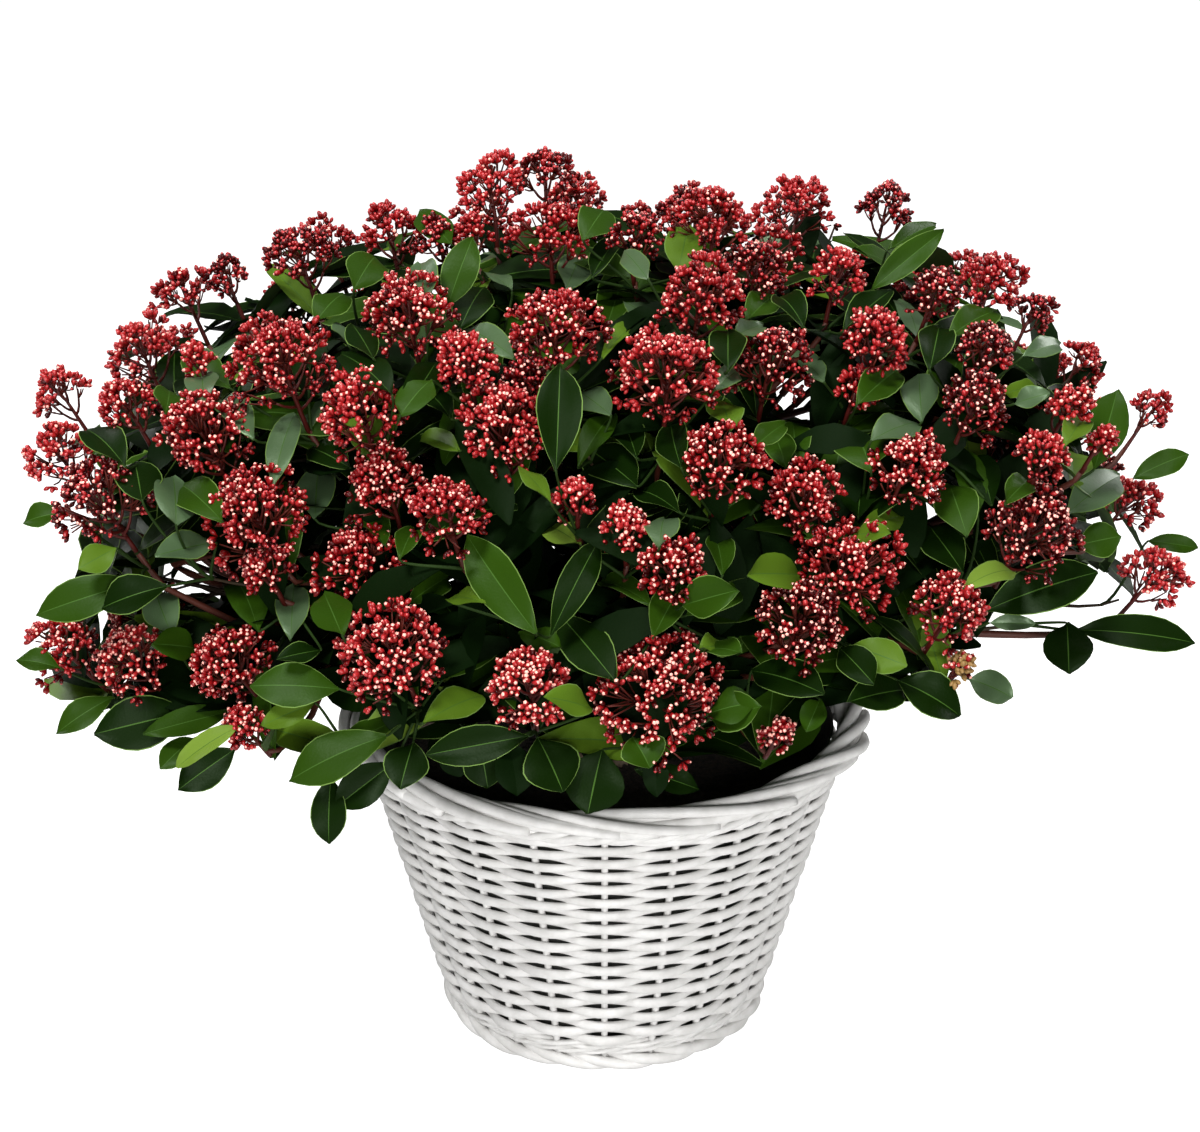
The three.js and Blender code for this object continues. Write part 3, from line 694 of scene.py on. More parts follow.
def seen_at(points):
    """Where the camera sees points: pixels across, pixels down, and metres ahead."""
    offset = points - camera_at
    ahead = offset @ AHEAD
    across = IMAGE_WIDTH / 2 + FOCAL_PIXELS * offset[..., 0] / ahead
    down = IMAGE_HEIGHT / 2 - FOCAL_PIXELS * (offset @ UPWARD) / ahead
    return across, down, ahead


def below_hem(points):
    """How far each point hangs below the crown's lower edge as the camera sees it."""
    across, down, ahead = seen_at(points)
    return np.maximum(down - np.interp(across, HEM_ACROSS, HEM_DOWN), 0) * ahead / FOCAL_PIXELS


def off_line(across, down, start, end):
    """How far pixels are from the nearest places on lines between a start and an end, and the
    shares of the way along the lines at which those are."""
    run_u, run_v = end[0] - start[0], end[1] - start[1]
    off_u, off_v = across - start[0], down - start[1]
    share = np.clip((off_u * run_u + off_v * run_v) / (run_u**2 + run_v**2 + 1e-9), 0, 1)
    return np.hypot(off_u - share * run_u, off_v - share * run_v), share


def across_gap(bases, tips, widths):
    """True for leaves that the camera sees across a gap where the background shows."""
    start, end = (np.array(seen_at(points))[:, :, None] for points in (bases, tips))
    gap, _ = off_line(SKY_GAPS[:, 0], SKY_GAPS[:, 1], start, end)
    half = GAP_CLEARANCE * widths[:, None] * FOCAL_PIXELS / start[2]
    return np.any(gap < SKY_GAPS[:, 2] + half, axis=1)


def crown_ahead(line):
    """How far away the camera sees the crown in a direction, or None where it doesn't."""
    return crown.ray_cast(Vector(camera_at), Vector(line))[3]


def on_crown(across, down):
    """Where the sight line of a pixel meets the crown, or passes nearest to it. In a cleft
    between two masses it is as near as the masses beside it, because shoots fill the cleft."""
    line = sight_line(across, down)
    hit = crown_ahead(line)
    if hit is not None:
        sides = ((-CLEFT, 0), (CLEFT, 0), (0, -CLEFT), (0, CLEFT))
        found = [crown_ahead(sight_line(across + u, down + v)) for u, v in sides]
        near = sorted([hit] + [f for f in found if f is not None])
        return camera_at + line * min(hit, near[min(1, len(near) - 1)])
    along = camera_at + line * np.linspace(*SEEN_RANGE, SEEN_STEPS)[:, None]
    gaps = [crown.find_nearest(Vector(p))[3] for p in along]
    return along[int(np.argmin(gaps))]


def shoot_way(point, lift):
    """A shoot's direction at its tip: away from the crown's heart, turned up towards light."""
    return unit(unit(point - CROWN_HEART) + lift * UP)


def from_outside(way):
    """Where a line towards the crown's middle, from outside, first meets the crown."""
    start = Vector(CROWN_MIDDLE + way * OUTSIDE)
    hit, normal, _, _ = crown.ray_cast(start, Vector(-way))
    return (None, None) if hit is None else (np.array(hit), np.array(normal))


def beyond_crown(points):
    """How far each point lies outside the crown, along the line from the crown's middle."""
    out = np.full(len(points), OUTSIDE)
    for i, point in enumerate(points):
        far = np.linalg.norm(point - CROWN_MIDDLE)
        hit, _ = from_outside((point - CROWN_MIDDLE) / far)
        if hit is not None:
            out[i] = far - np.linalg.norm(hit - CROWN_MIDDLE)
    return out


def scattered(count, spacing, taken, keep):
    """Points on the crown's surface, at least spacing from each other and from those taken,
    where keep is true of the point and its outward normal."""
    found, chosen = list(taken), []
    for way in unit(rng.normal(size=(count, 3))):
        point, normal = from_outside(way)
        if point is None or point[2] < LOWEST_SHOOT or not keep(point, normal):
            continue
        if found and np.min(np.linalg.norm(np.array(found) - point, axis=1)) < spacing:
            continue
        found.append(point)
        chosen.append(point)
    return chosen


def towards_camera(point):
    """The direction from a point to the camera."""
    return unit(camera_at - point)


def hidden_and_high(point, normal):
    """True where the surface is turned from the camera, and not down."""
    turned_away = np.dot(towards_camera(point), normal) < TURNED_AWAY
    return turned_away and point[2] > LOWEST_HEAD and normal[2] > MOST_DOWN


def is_hidden(point):
    """True where the crown hides a point from the camera."""
    line = point - camera_at
    far = np.linalg.norm(line)
    distance = crown_ahead(line / far)
    return distance is not None and distance < far


def sunk(middle, way, width):
    """A hidden head's middle, sunk along its stem until the crown hides its top and its two
    sides from the front, or None where it can't or would show in a gap or below the crown."""
    half = np.array([0.5 * width, 0.0, 0.0])
    foot = middle - way * SUNK_FOOT * width
    if below_hem(foot) > 0 or across_gap(middle[None], foot[None], np.array([width]))[0]:
        return None
    for _ in range(SINK_STEPS):
        top = middle + way * 0.5 * width
        if is_hidden(top) and is_hidden(top - half) and is_hidden(top + half):
            return middle
        middle = middle - way * SINK_STEP
    return None


def flower_heads():
    """Each head's middle, width, direction and openness. Those that show from the front stand
    where they are seen, and the rest are scattered over the sides and the back."""
    found = []
    for across, down, width in FRONT_HEADS:
        point = on_crown(across, down)
        way = shoot_way(point, FRONT_LIFT)
        facing = np.dot(way, towards_camera(point))
        openness = np.clip((SIDE_ON - facing) / OPENING_RANGE, 0, 1)
        found.append((point - way * HEAD_DEPTH * width, width, way, openness))
    for point in scattered(HEAD_TRIES, HEAD_SPACING, [f[0] for f in found], hidden_and_high):
        width = rng.uniform(*HIDDEN_WIDTHS)
        way = unit(shoot_way(point, HIDDEN_LIFT) + rng.normal(scale=HIDDEN_TILT, size=3))
        openness = rng.uniform(*HIDDEN_OPENNESS)
        middle = sunk(point - way * HIDDEN_DEPTH * width, way, width)
        if middle is not None:
            found.append((middle, width, way, openness))
    return found


heads = flower_heads()
FRONT_COUNT = len(FRONT_HEADS)
head_middles = np.array([h[0] for h in heads])
head_widths = np.array([h[1] for h in heads])


def leafy(point, normal):
    """True where the surface is not turned down and its leaves clear the crown's lower edge."""
    return normal[2] > LEAFY_MOST_DOWN and below_hem(point + WHORL_DROP) == 0


leafy_points = scattered(LEAFY_TRIES, LEAFY_SPACING, list(head_middles), leafy)

# ---------------- shoots

STALK_SHARE = 0.62  # a head's middle is this share of its width above its leaves
BEARING, LEAFY, SINGLE = range(3)  # shoots with a head, with leaves only, and a single leaf's
# A front leaf's length, its base's depth in the crown and its tip's reach beyond it
NAMED_LENGTH, NAMED_DEPTH, NAMED_BEYOND = 0.068, 0.016, 0.014
UPRIGHT = 0.3  # a leaf that rises by more than this share of its run in the view is upright
MOST_TURNED = 0.6  # the most that it goes towards or from the camera, as a share of its length
FORWARD_MOST, FRONTMOST = 0.034, -0.300  # the most that it is brought forward, and to where
TIP_TRIES = (1, 0.8, 0.6, 0.4, 0.2, 0)  # shares of its turn, until its tip is near the crown
OUTER_PART = np.array([0.3, 0.65, 1.0])[:, None, None]
COVERED_WIDTH = 0.03  # front leaves come before heads wider than this
HEAD_REACH = 0.55  # half a head's width with its buds, as a share of it
CROSSED = 0.9  # a leaf nearer than this share of that to a head's middle crosses it
LEAFY_DEPTHS, LEAFY_TILT = (0.022, 0.048), 0.12
SINGLE_ALONG, SINGLE_LIFT = 0.4, 0.2  # a single leaf's stem arrives towards the camera, this
# much along the leaf and this much upwards
STEM_POINTS = 9
OPEN_PLACES = [3, 5, 7]  # the points of a stem where later stems may start
# For a shoot's stem and a single leaf's: the nearest start to the tip, the furthest from the fork
# as a share of the tip's reach, and the cost of turning
STEM_RULE, SINGLE_RULE = (0.045, 0.74, 1.5), (0.008, 0.98, 0.5)
TOO_NEAR, TOO_FAR_OUT = 0.2, 0.5  # metres that these add to the cost
LEAVING, ARRIVING = 0.6, 0.7  # how straight a stem leaves its place and arrives
STEM_LEVEL, STEM_BOW = 0.295, 0.040  # stems below this level bow up by as much as this
STEM_DEPTHS = np.array([0.060, 0.060, 0.058, 0.050, 0.036, 0.016])
CLEAR_OF_CROWN = 0.1  # a point that is this far out has no crown below it


def front_leaf_chords():
    """The base and tip of each leaf that shows from the front. Its base lies a little inside
    the crown on its own sight line. Its tip lies on its sight line at a leaf's length from the
    base, nearer than the base for a leaf that hangs or spreads and further for an upright one."""
    bases, tips = [], []
    for base_across, base_down, tip_across, tip_down, _, _ in FRONT_LEAVES:
        base = on_crown(base_across, base_down)
        base = base + sight_line(base_across, base_down) * NAMED_DEPTH
        ahead = (base - camera_at) @ AHEAD
        line = sight_line(tip_across, tip_down)
        level = camera_at + line * (ahead / (line @ AHEAD))
        span = np.linalg.norm(level - base)
        depth = min(math.sqrt(max(NAMED_LENGTH**2 - span**2, 0)), MOST_TURNED * NAMED_LENGTH)
        rise, run = base_down - tip_down, math.hypot(tip_across - base_across, tip_down - base_down)
        way = 1 if rise > UPRIGHT * run else -1
        ways = [level + line * way * depth * share for share in TIP_TRIES]
        inside = beyond_crown(np.array(ways)) < NAMED_BEYOND
        bases.append(base)
        tips.append(ways[int(np.argmax(inside))] if inside.any() else level)
    return np.array(bases), np.array(tips)


def before_heads(bases, tips):
    """Bases and tips brought towards the camera on their own sight lines, until the outer part
    of each leaf is nearer than the heads that it crosses in the view."""
    across, down, ahead = seen_at(mix(bases, tips, OUTER_PART))
    u, v, width = np.array(FRONT_HEADS).T
    far, half = seen_at(head_middles[:FRONT_COUNT])[2], HEAD_REACH * width
    gap = np.hypot(across[..., None] - u, down[..., None] - v) * far / (FOCAL_PIXELS * half)
    nearest = far - half * np.sqrt(np.clip(1 - gap**2, 0, 1))
    crossed = (gap < CROSSED) & (width > COVERED_WIDTH)
    need = np.where(crossed, ahead[..., None] - nearest, 0).max(axis=(0, 2))
    room = (np.minimum(bases[:, 1], tips[:, 1]) - FRONTMOST) / AHEAD[1]
    shift = np.clip(np.minimum(need, room), 0, FORWARD_MOST)[:, None]
    return bases + towards_camera(bases) * shift, tips + towards_camera(tips) * shift


named_bases, named_tips = before_heads(*front_leaf_chords())
shoot_counts = [len(heads), len(leafy_points), len(named_bases)]
shoot_kind = np.repeat([BEARING, LEAFY, SINGLE], shoot_counts)
shoot_foot = [h[0] - h[2] * STALK_SHARE * h[1] for h in heads]
shoot_axis = [h[2] for h in heads]
for point in leafy_points:
    way = unit(shoot_way(point, LEAFY_LIFT) + rng.normal(scale=LEAFY_TILT, size=3))
    shoot_foot.append(point - way * rng.uniform(*LEAFY_DEPTHS))
    shoot_axis.append(way)
for base, tip in zip(named_bases, named_tips):
    shoot_foot.append(base)
    way = SINGLE_ALONG * unit(tip - base) + towards_camera(base) + SINGLE_LIFT * UP
    shoot_axis.append(unit(way))
shoot_foot, shoot_axis = np.array(shoot_foot), np.array(shoot_axis)


def drawn_in(points):
    """A stem's points, drawn towards the crown's middle where they come nearer to its surface
    than their own depths. Points with no crown below them stay."""
    over = beyond_crown(points) + STEM_DEPTHS
    over = np.where(over > CLEAR_OF_CROWN, 0, np.maximum(over, 0))
    return points + unit(CROWN_MIDDLE - points) * over[:, None]


def grow_stems(tips, axes, kinds):
    """The branching rule. Tips are taken from the nearest to the fork to the furthest, and each
    is joined to the place on the limbs grown so far that costs least: the distance, more where
    the stem would have to turn back, start next to its tip or start further out than it. A
    single leaf's may start close by, and takes no other stem. A stem's line is a cubic from
    there, leaving outwards and arriving along the shoot's own direction, with its middle bowed
    up where it is low and drawn in under the crown's surface. Places along it are open to later
    stems. Gives the lines and each one's parent."""
    places = [p for line in bough_lines for p in line[-2:]]
    owners = [-1] * len(places)
    reach = np.linalg.norm(tips - FORK, axis=1)
    lines = np.empty((len(tips), STEM_POINTS, 3))
    parents = np.full(len(tips), -1)
    t = np.linspace(0, 1, STEM_POINTS)[:, None]
    for i in np.argsort(reach):
        known = np.array(places)
        far = np.linalg.norm(tips[i] - known, axis=1)
        out = np.linalg.norm(known - FORK, axis=1)
        outward = (known - FORK) / out[:, None]
        turn = 1 - np.sum(unit(tips[i] - known) * outward, axis=1)
        nearest, inner, turning = SINGLE_RULE if kinds[i] == SINGLE else STEM_RULE
        cost = far * (1 + turning * turn) + np.where(far < nearest, TOO_NEAR, 0)
        best = np.argmin(cost + np.where(out > inner * reach[i], TOO_FAR_OUT, 0))
        parents[i] = owners[best]
        leave, arrive = outward[best] * far[best] * LEAVING, axes[i] * far[best] * ARRIVING
        lines[i] = (
            (2 * t**3 - 3 * t**2 + 1) * known[best]
            + (t**3 - 2 * t**2 + t) * leave
            + (3 * t**2 - 2 * t**3) * tips[i]
            + (t**3 - t**2) * arrive
        )
        if kinds[i] == SINGLE:
            continue
        bow = np.clip(STEM_LEVEL - lines[i][STEM_POINTS // 2, 2], 0, STEM_BOW)
        lines[i][:, 2:] += 4 * t * (1 - t) * bow
        lines[i][2:-1] = drawn_in(lines[i][2:-1])
        places += list(lines[i][OPEN_PLACES])
        owners += [i] * len(OPEN_PLACES)
    return lines, parents


stems, stem_parent = grow_stems(shoot_foot, shoot_axis, shoot_kind)

# ---------------- leaves

FINE_ACROSS = np.array([-1.0, -0.955, -0.5, -0.024, 0.024, 0.5, 0.955, 1.0])
FINE_ALONG = np.array([0, 0.05, 0.12, 0.22, 0.34, 0.47, 0.60, 0.72, 0.83, 0.92, 0.975, 1.0])
BLADE, EDGE, RIB = range(3)
FINE_STRIPS = np.array([EDGE, BLADE, BLADE, RIB, BLADE, BLADE, EDGE])
LEAF_ACROSS = np.array([-1.0, -0.955, -0.028, 0.028, 0.955, 1.0])
LEAF_ALONG = np.array([0.0, 0.08, 0.20, 0.36, 0.54, 0.71, 0.86, 0.955, 1.0])
LEAF_STRIPS = np.array([EDGE, BLADE, RIB, BLADE, EDGE])
PLAIN_STRIPS = np.array([BLADE, BLADE])
UNDER_ACROSS = np.array([-0.97, 0.0, 0.97])
BLADE_THICKNESS = 0.0004
BLADE_POWERS, NARROWEST = (1.02, 0.92), 0.055  # a blade's outline, below and above its widest
CUP, RIPPLE, RIPPLES = 0.18, 0.0014, 9
LEAF_WIDTHS, INNER_WIDTHS = (0.36, 0.44), (0.36, 0.42)  # as shares of the length
BENDS, FOLDS = (0.15, 0.75), (0.16, 0.62)
# How far the leaves of front heads and of other shoots may reach beyond the crown, and the most
# that a leaf may be over that
HEAD_ALLOWED, OTHER_ALLOWED, MOST_OVER = 0.016, 0.004, 0.012
HEAD_CLEAR = 0.45  # how far leaves keep from a head's middle, as a share of its width
# How far whorl leaves that are nearer keep from front heads and leaves in the view, as shares
# of their widths
HEAD_VIEW, LEAF_VIEW = 0.36, 0.62
BEHIND_LEAF = 0.004  # a leaf that crosses a front leaf in the view is this much further away
NEAR_OUTLINE = 0.006
HANGING = -0.22  # how strongly whorls' leaves hang
FACE_LIFT, FACE_SPREAD = 0.35, 0.22
FRONT_FACE_LIFT, FRONT_FACE_SPREAD = 0.5, 0.2
MILLIMETRES = 1000  # to the metre
WHORL_LEAVES, LOWER_LEAVES = (6, 9), 2
WHORL_OPENINGS, LOWER_OPENINGS = (100, 64), (65, 105)  # degrees from the shoot's direction
WHORL_LENGTHS, LOWER_LENGTHS = (0.066, 0.088), (0.060, 0.080)
TOP_SHORTER = 0.82
WHORL_DEPTH = 0.016
LOWER_PLACES = (5, 8)  # the points of a stem where its lower leaves are, before the last
AZIMUTH_SPREAD, OPENING_SPREAD = 0.15, 0.12
BOUGH_LEAVES = 3  # leaves to each stretch of a bough
BOUGH_LENGTHS, INNER_LENGTHS = (0.055, 0.075), (0.060, 0.080)
OVER_SOIL, OVER_RIM = 0.19, 0.25  # levels between which bough leaves keep inside the basket
BASKET_ROOM = (0.128, 0.150)
BOUGH_LEAF_REACH, BOUGH_LEAF_HANG = 0.20, 0.05
BOUGH_SPREAD, BOUGH_DROOP, BOUGH_FACE_SPREAD = 0.7, -0.35, 0.3
INNER_SHARE = 0.75  # how many of their places on the stems have an old leaf
INNER_PLACES = slice(2, 7)
INNER_DEPTH = 0.012
INNER_OUT, INNER_DROOP = 0.55, -0.15  # how strongly inner leaves lead outwards and hang
INNER_FACE_OUT, INNER_FACE_LIFT, INNER_FACE_SPREAD = 0.4, 0.8, 0.2
FEWEST_LEAVES = 3  # round the tip of a leafy shoot
SHADE_DEPTH = 0.010  # a lower leaf whose tip is this far inside the crown gets the near-black painted shade
EDGED_WAVE = 4.6  # leaves whose edges' wave starts past this have no pale margin
BLADE_SAMPLES = np.array([0.35, 0.7, 1.0])[:, None]
LEAF_GRAIN = (90, 700, 0.25, 0.0004)
LEAF_SHEEN = (0.75, 0.95, 0.68, 1.0)
LEAF_FINISHES = [
    finish(
        f"leaf_{name}", colour, roughness, LEAF_GRAIN, Specular_IOR_Level=gloss,
        Specular_Tint=LEAF_SHEEN,
    )
    for name, colour, roughness, gloss in (
        ("deep", (0.0028, 0.0095, 0.0006), 0.42, 0.055),
        ("mid", (0.0145, 0.0385, 0.0018), 0.42, 0.08),
        ("fresh", (0.054, 0.102, 0.007), 0.42, 0.08),
        ("young", (0.105, 0.168, 0.020), 0.42, 0.08),
        # A grey-green base colour that is a painted sheen, as of glossy leaves turned to the sky
        ("painted_sheen", (0.045, 0.078, 0.034), 0.36, 0.40),
        ("margin", (0.098, 0.165, 0.036), 0.42, 0.08),
        ("midrib", (0.036, 0.084, 0.013), 0.42, 0.08),
        ("underside", (0.036, 0.064, 0.018), 0.6, 0.08),
        # Near-black painted shade for leaves deep in the crown and under it
        ("painted_shade", (0.0016, 0.0060, 0.0007), 0.6, 0.05),
    )
]
# How likely a whorl's leaves are to be deep, mid, fresh, young or grey-green with a painted sheen,
# for three kinds of whorl
TONE_ODDS = np.array([
    [0.62, 0.27, 0.04, 0.00, 0.07], [0.46, 0.37, 0.08, 0.00, 0.09], [0.32, 0.42, 0.14, 0.02, 0.10],
])


def blade_width(u):
    """A leaf's width at u of its length, as a share of its widest: (u / top)^a times
    ((1 - u) / (1 - top))^b, with the widest place, top, at a / (a + b). It narrows to a stalk
    below and to a point above."""
    a, b = BLADE_POWERS
    top = a / (a + b)
    return np.maximum((u / top) ** a * ((1 - u) / (1 - top)) ** b, NARROWEST)


def at_base(chord, face, bend):
    """A leaf's direction and face at its base, where its arc ends on the chord from there."""
    face, half = square_to(face, chord), bend[:, None] / 2
    return chord * np.cos(half) + face * np.sin(half), face * np.cos(half) - chord * np.sin(half)


def leaf_sheet(base, chord, face, length, width, bend, fold, wave, rows, across, lift):
    """Leaves as sheets. The midrib is an arc that turns away from the face by bend in its
    whole length and ends on the chord. Across it, each half rises by the fold and cups a
    little, and the edges ripple. lift moves the sheet along its normal."""
    along, face = at_base(chord, face, bend)
    u, v = rows[None, :, None], across[None, None, :]
    side = np.cross(along, face)[:, None, None]
    along, face, base = along[:, None, None], face[:, None, None], base[:, None, None]
    length, width, bend, fold, wave = (a[:, None, None] for a in (length, width, bend, fold, wave))
    turn = bend * u
    run = length * np.sin(turn) / bend
    drop = -length * (1 - np.cos(turn)) / bend
    half = blade_width(u) * width / 2
    up = half * (np.abs(v) * np.sin(fold) - CUP * v**2)
    up = up + RIPPLE * np.sin(wave + RIPPLES * u) * v * np.abs(v) + lift
    normal = face * np.cos(turn)[..., None] + along * np.sin(turn)[..., None]
    points = base + along * run[..., None] + face * drop[..., None]
    return points + side * (half * v * np.cos(fold))[..., None] + normal * up[..., None]


def sheet_faces(count, rows, columns, flip):
    """Quads of many grids of rows by columns points."""
    leaf, row, column = np.meshgrid(
        np.arange(count), np.arange(rows - 1), np.arange(columns - 1), indexing="ij"
    )
    at = leaf * rows * columns + row * columns + column
    quads = np.stack([at, at + 1, at + columns + 1, at + columns], axis=-1).reshape(-1, 4)
    return quads[:, [0, 3, 2, 1]] if flip else quads


def leaf_parts(leaves, lines, across, strips):
    """The upper sides, in strips of the leaf's own finish, of its margin's and its midrib's, and
    the undersides. Leaves of painted shade are of one finish, and some have no pale margin."""
    *shape, tone = leaves
    count, rows = len(tone), len(lines)
    painted_shade, unedged = tone == PAINTED_SHADE, shape[-1] > EDGED_WAVE
    strips = np.broadcast_to(strips, (count, rows - 1, len(strips)))
    plain = painted_shade[:, None, None] | unedged[:, None, None] & (strips == EDGE)
    colour = np.choose(np.where(plain, BLADE, strips), [tone[:, None, None], MARGIN, MIDRIB])
    under = np.repeat(np.where(painted_shade, PAINTED_SHADE, UNDERSIDE), (rows - 1) * (len(UNDER_ACROSS) - 1))
    upper = leaf_sheet(*shape, lines, across, 0.0)
    lower = leaf_sheet(*shape, lines, UNDER_ACROSS, -BLADE_THICKNESS)
    return [
        (upper.reshape(-1, 3), [sheet_faces(count, rows, len(across), False)], [colour.ravel()]),
        (lower.reshape(-1, 3), [sheet_faces(count, rows, len(UNDER_ACROSS), True)], [under]),
    ]


def held_in(base, chord, length, allowed):
    """Chords turned so that their tips keep within the allowed reach beyond the crown and above
    its lower edge, and how far they are still over it."""
    for _ in range(3):
        tips = base + chord * length[:, None]
        over = np.maximum(beyond_crown(tips) - allowed, 0)
        low = below_hem(tips)
        tips = tips - unit(tips - CROWN_MIDDLE) * over[:, None] + UPWARD * low[:, None]
        chord = unit(tips - base)
    tips = base + chord * length[:, None]
    return chord, np.maximum(beyond_crown(tips) - allowed, below_hem(tips))


def whorl_rows():
    """Every shoot's leaves: place, azimuth, opening, length, tone and shoot. The top whorl
    stands round the shoot's tip a golden angle apart, from spread leaves below to half upright
    ones at the tip. A second, looser one sits on last year's stem."""
    rows = []
    for i in np.flatnonzero(shoot_kind != SINGLE):
        count = rng.integers(*WHORL_LEAVES)
        spin, odds = rng.uniform(*ANY_TURN), TONE_ODDS[rng.integers(0, len(TONE_ODDS))]
        for k in range(count + LOWER_LEAVES):
            share = k / (count - 1)
            if share > 1:
                at = stems[i][rng.integers(*LOWER_PLACES)]
                opening = math.radians(rng.uniform(*LOWER_OPENINGS))
                length = rng.uniform(*LOWER_LENGTHS)
            else:
                at = shoot_foot[i] - shoot_axis[i] * mix(WHORL_DEPTH, 0.0, share)
                opening = math.radians(mix(*WHORL_OPENINGS, share))
                opening += rng.normal(scale=OPENING_SPREAD)
                length = rng.uniform(*WHORL_LENGTHS) * mix(1.0, TOP_SHORTER, share)
            azimuth = spin + k * GOLDEN_ANGLE + rng.normal(scale=AZIMUTH_SPREAD)
            tone = rng.choice(len(odds), p=odds)
            # The lower leaves get the near-black painted shade
            rows.append((*at, azimuth, opening, length, PAINTED_SHADE if share > 1 else tone, i))
    return np.array(rows)


def within_outline(tips):
    """True for tips that the camera sees against the crown, or close to its edge."""
    return np.array([
        crown_ahead(unit(tip - camera_at)) is not None
        or crown.find_nearest(Vector(tip))[3] < NEAR_OUTLINE
        for tip in tips
    ])


def clear_of_heads(samples):
    """True for leaves whose blades stay out of every head."""
    clear = np.ones(len(samples), bool)
    for middle, width in zip(head_middles, head_widths):
        gap = np.linalg.norm(samples - middle, axis=2)
        clear &= np.all(gap > HEAD_CLEAR * width, axis=1)
    return clear


def in_outline(across, down):
    """True for pixels inside the outline: a line to the right of one crosses it an odd number
    of times."""
    x0, y0 = OUTLINE.T
    x1, y1 = np.roll(OUTLINE, -1, axis=0).T
    across, down = across[..., None], down[..., None]
    spans = (y0 > down) != (y1 > down)
    crossing = x0 + (down - y0) * (x1 - x0) / np.where(y1 == y0, 1, y1 - y0)
    return np.sum(spans & (across < crossing), axis=-1) % 2 == 1


def clear_view(samples):
    """True for leaves inside the outline that hide no head or leaf of those that show from the
    front."""
    across, down, ahead = seen_at(samples)
    clear = in_outline(across, down).all(axis=1)
    for (u, v, width), middle in zip(FRONT_HEADS, head_middles):
        far = seen_at(middle)[2]
        near = np.hypot(across - u, down - v) < HEAD_VIEW * width * FOCAL_PIXELS / far
        clear &= ~np.any(near & (ahead < far), axis=1)
    base_ahead, tip_ahead = seen_at(named_bases)[2], seen_at(named_tips)[2]
    for (u0, v0, u1, v1, width, _), far0, far1 in zip(FRONT_LEAVES, base_ahead, tip_ahead):
        gap, share = off_line(across, down, (u0, v0), (u1, v1))
        near = gap < LEAF_VIEW * width / MILLIMETRES * FOCAL_PIXELS / far0
        clear &= ~np.any(near & (ahead < mix(far0, far1, share) + BEHIND_LEAF), axis=1)
    return clear


def leaf_shapes(count, widths):
    """Random widths as a share of length, bends, folds and waves of leaves."""
    return (rng.uniform(*pair, count) for pair in (widths, BENDS, FOLDS, ANY_TURN))


def whorl_leaves():
    """The whorls' leaves that keep in the crown, clear of the heads and out of the view of the
    front leaves, and the shoot of each. A leafy shoot that keeps few leaves round its tip has
    none. The lower leaves get the near-black painted shade only well inside the crown."""
    rows = whorl_rows()
    base, azimuth, opening, length = rows[:, :3], rows[:, 3], rows[:, 4], rows[:, 5]
    tone, shoot = rows[:, 6].astype(int), rows[:, 7].astype(int)
    axis = shoot_axis[shoot]
    away = turned(square_to(np.broadcast_to(ANY_WAY, axis.shape), axis), axis, azimuth)
    chord = away * np.sin(opening)[:, None] + axis * np.cos(opening)[:, None]
    chord = unit(chord + HANGING * UP)
    share, bend, fold, wave = leaf_shapes(len(rows), LEAF_WIDTHS)
    allowed = np.where(shoot < FRONT_COUNT, HEAD_ALLOWED, OTHER_ALLOWED)
    chord, over = held_in(base, chord, length, allowed)
    face = square_to(axis + FACE_LIFT * UP, chord)
    face = turned(face, chord, rng.normal(scale=FACE_SPREAD, size=len(face)))
    samples = base[:, None] + chord[:, None] * length[:, None, None] * BLADE_SAMPLES
    kept = (over < MOST_OVER) & clear_of_heads(samples) & clear_view(samples)
    tips = base + chord * length[:, None]
    kept &= within_outline(tips) & ~across_gap(base, tips, length * share)
    topping = np.bincount(shoot[kept & (tone != PAINTED_SHADE)], minlength=len(shoot_kind))
    kept &= (topping >= FEWEST_LEAVES)[shoot] | (shoot_kind[shoot] == BEARING)
    tone = np.where((tone == PAINTED_SHADE) & (beyond_crown(tips) > -SHADE_DEPTH), DEEP, tone)
    leaves = (base, chord, face, length, length * share, bend, fold, wave, tone)
    return [a[kept] for a in leaves], shoot[kept]


def front_leaves():
    """The leaves that show from the front, turned towards the camera and the light. The arc of
    each is longer than its chord by its bend squared over 24."""
    span = named_tips - named_bases
    length, count = np.linalg.norm(span, axis=1), len(span)
    chord = span / length[:, None]
    face = towards_camera(named_bases) + FRONT_FACE_LIFT * UP
    face = face + rng.normal(scale=FRONT_FACE_SPREAD, size=(count, 3))
    width = np.array([leaf[4] for leaf in FRONT_LEAVES]) / MILLIMETRES
    tone = np.array([leaf[5] for leaf in FRONT_LEAVES])
    _, bend, fold, wave = leaf_shapes(count, (1, 1))
    return [named_bases, chord, face, length * (1 + bend**2 / 24), width, bend, fold, wave, tone]


def old_leaves(base, chord, face, lengths, widths):
    """Leaves of random length and shape, near-black with painted shade, and their tips."""
    length = rng.uniform(*lengths, len(base))
    share, bend, fold, wave = leaf_shapes(len(base), widths)
    tone = np.full(len(base), PAINTED_SHADE)
    leaves = (base, chord, face, length, length * share, bend, fold, wave, tone)
    return leaves, base + chord * length[:, None]


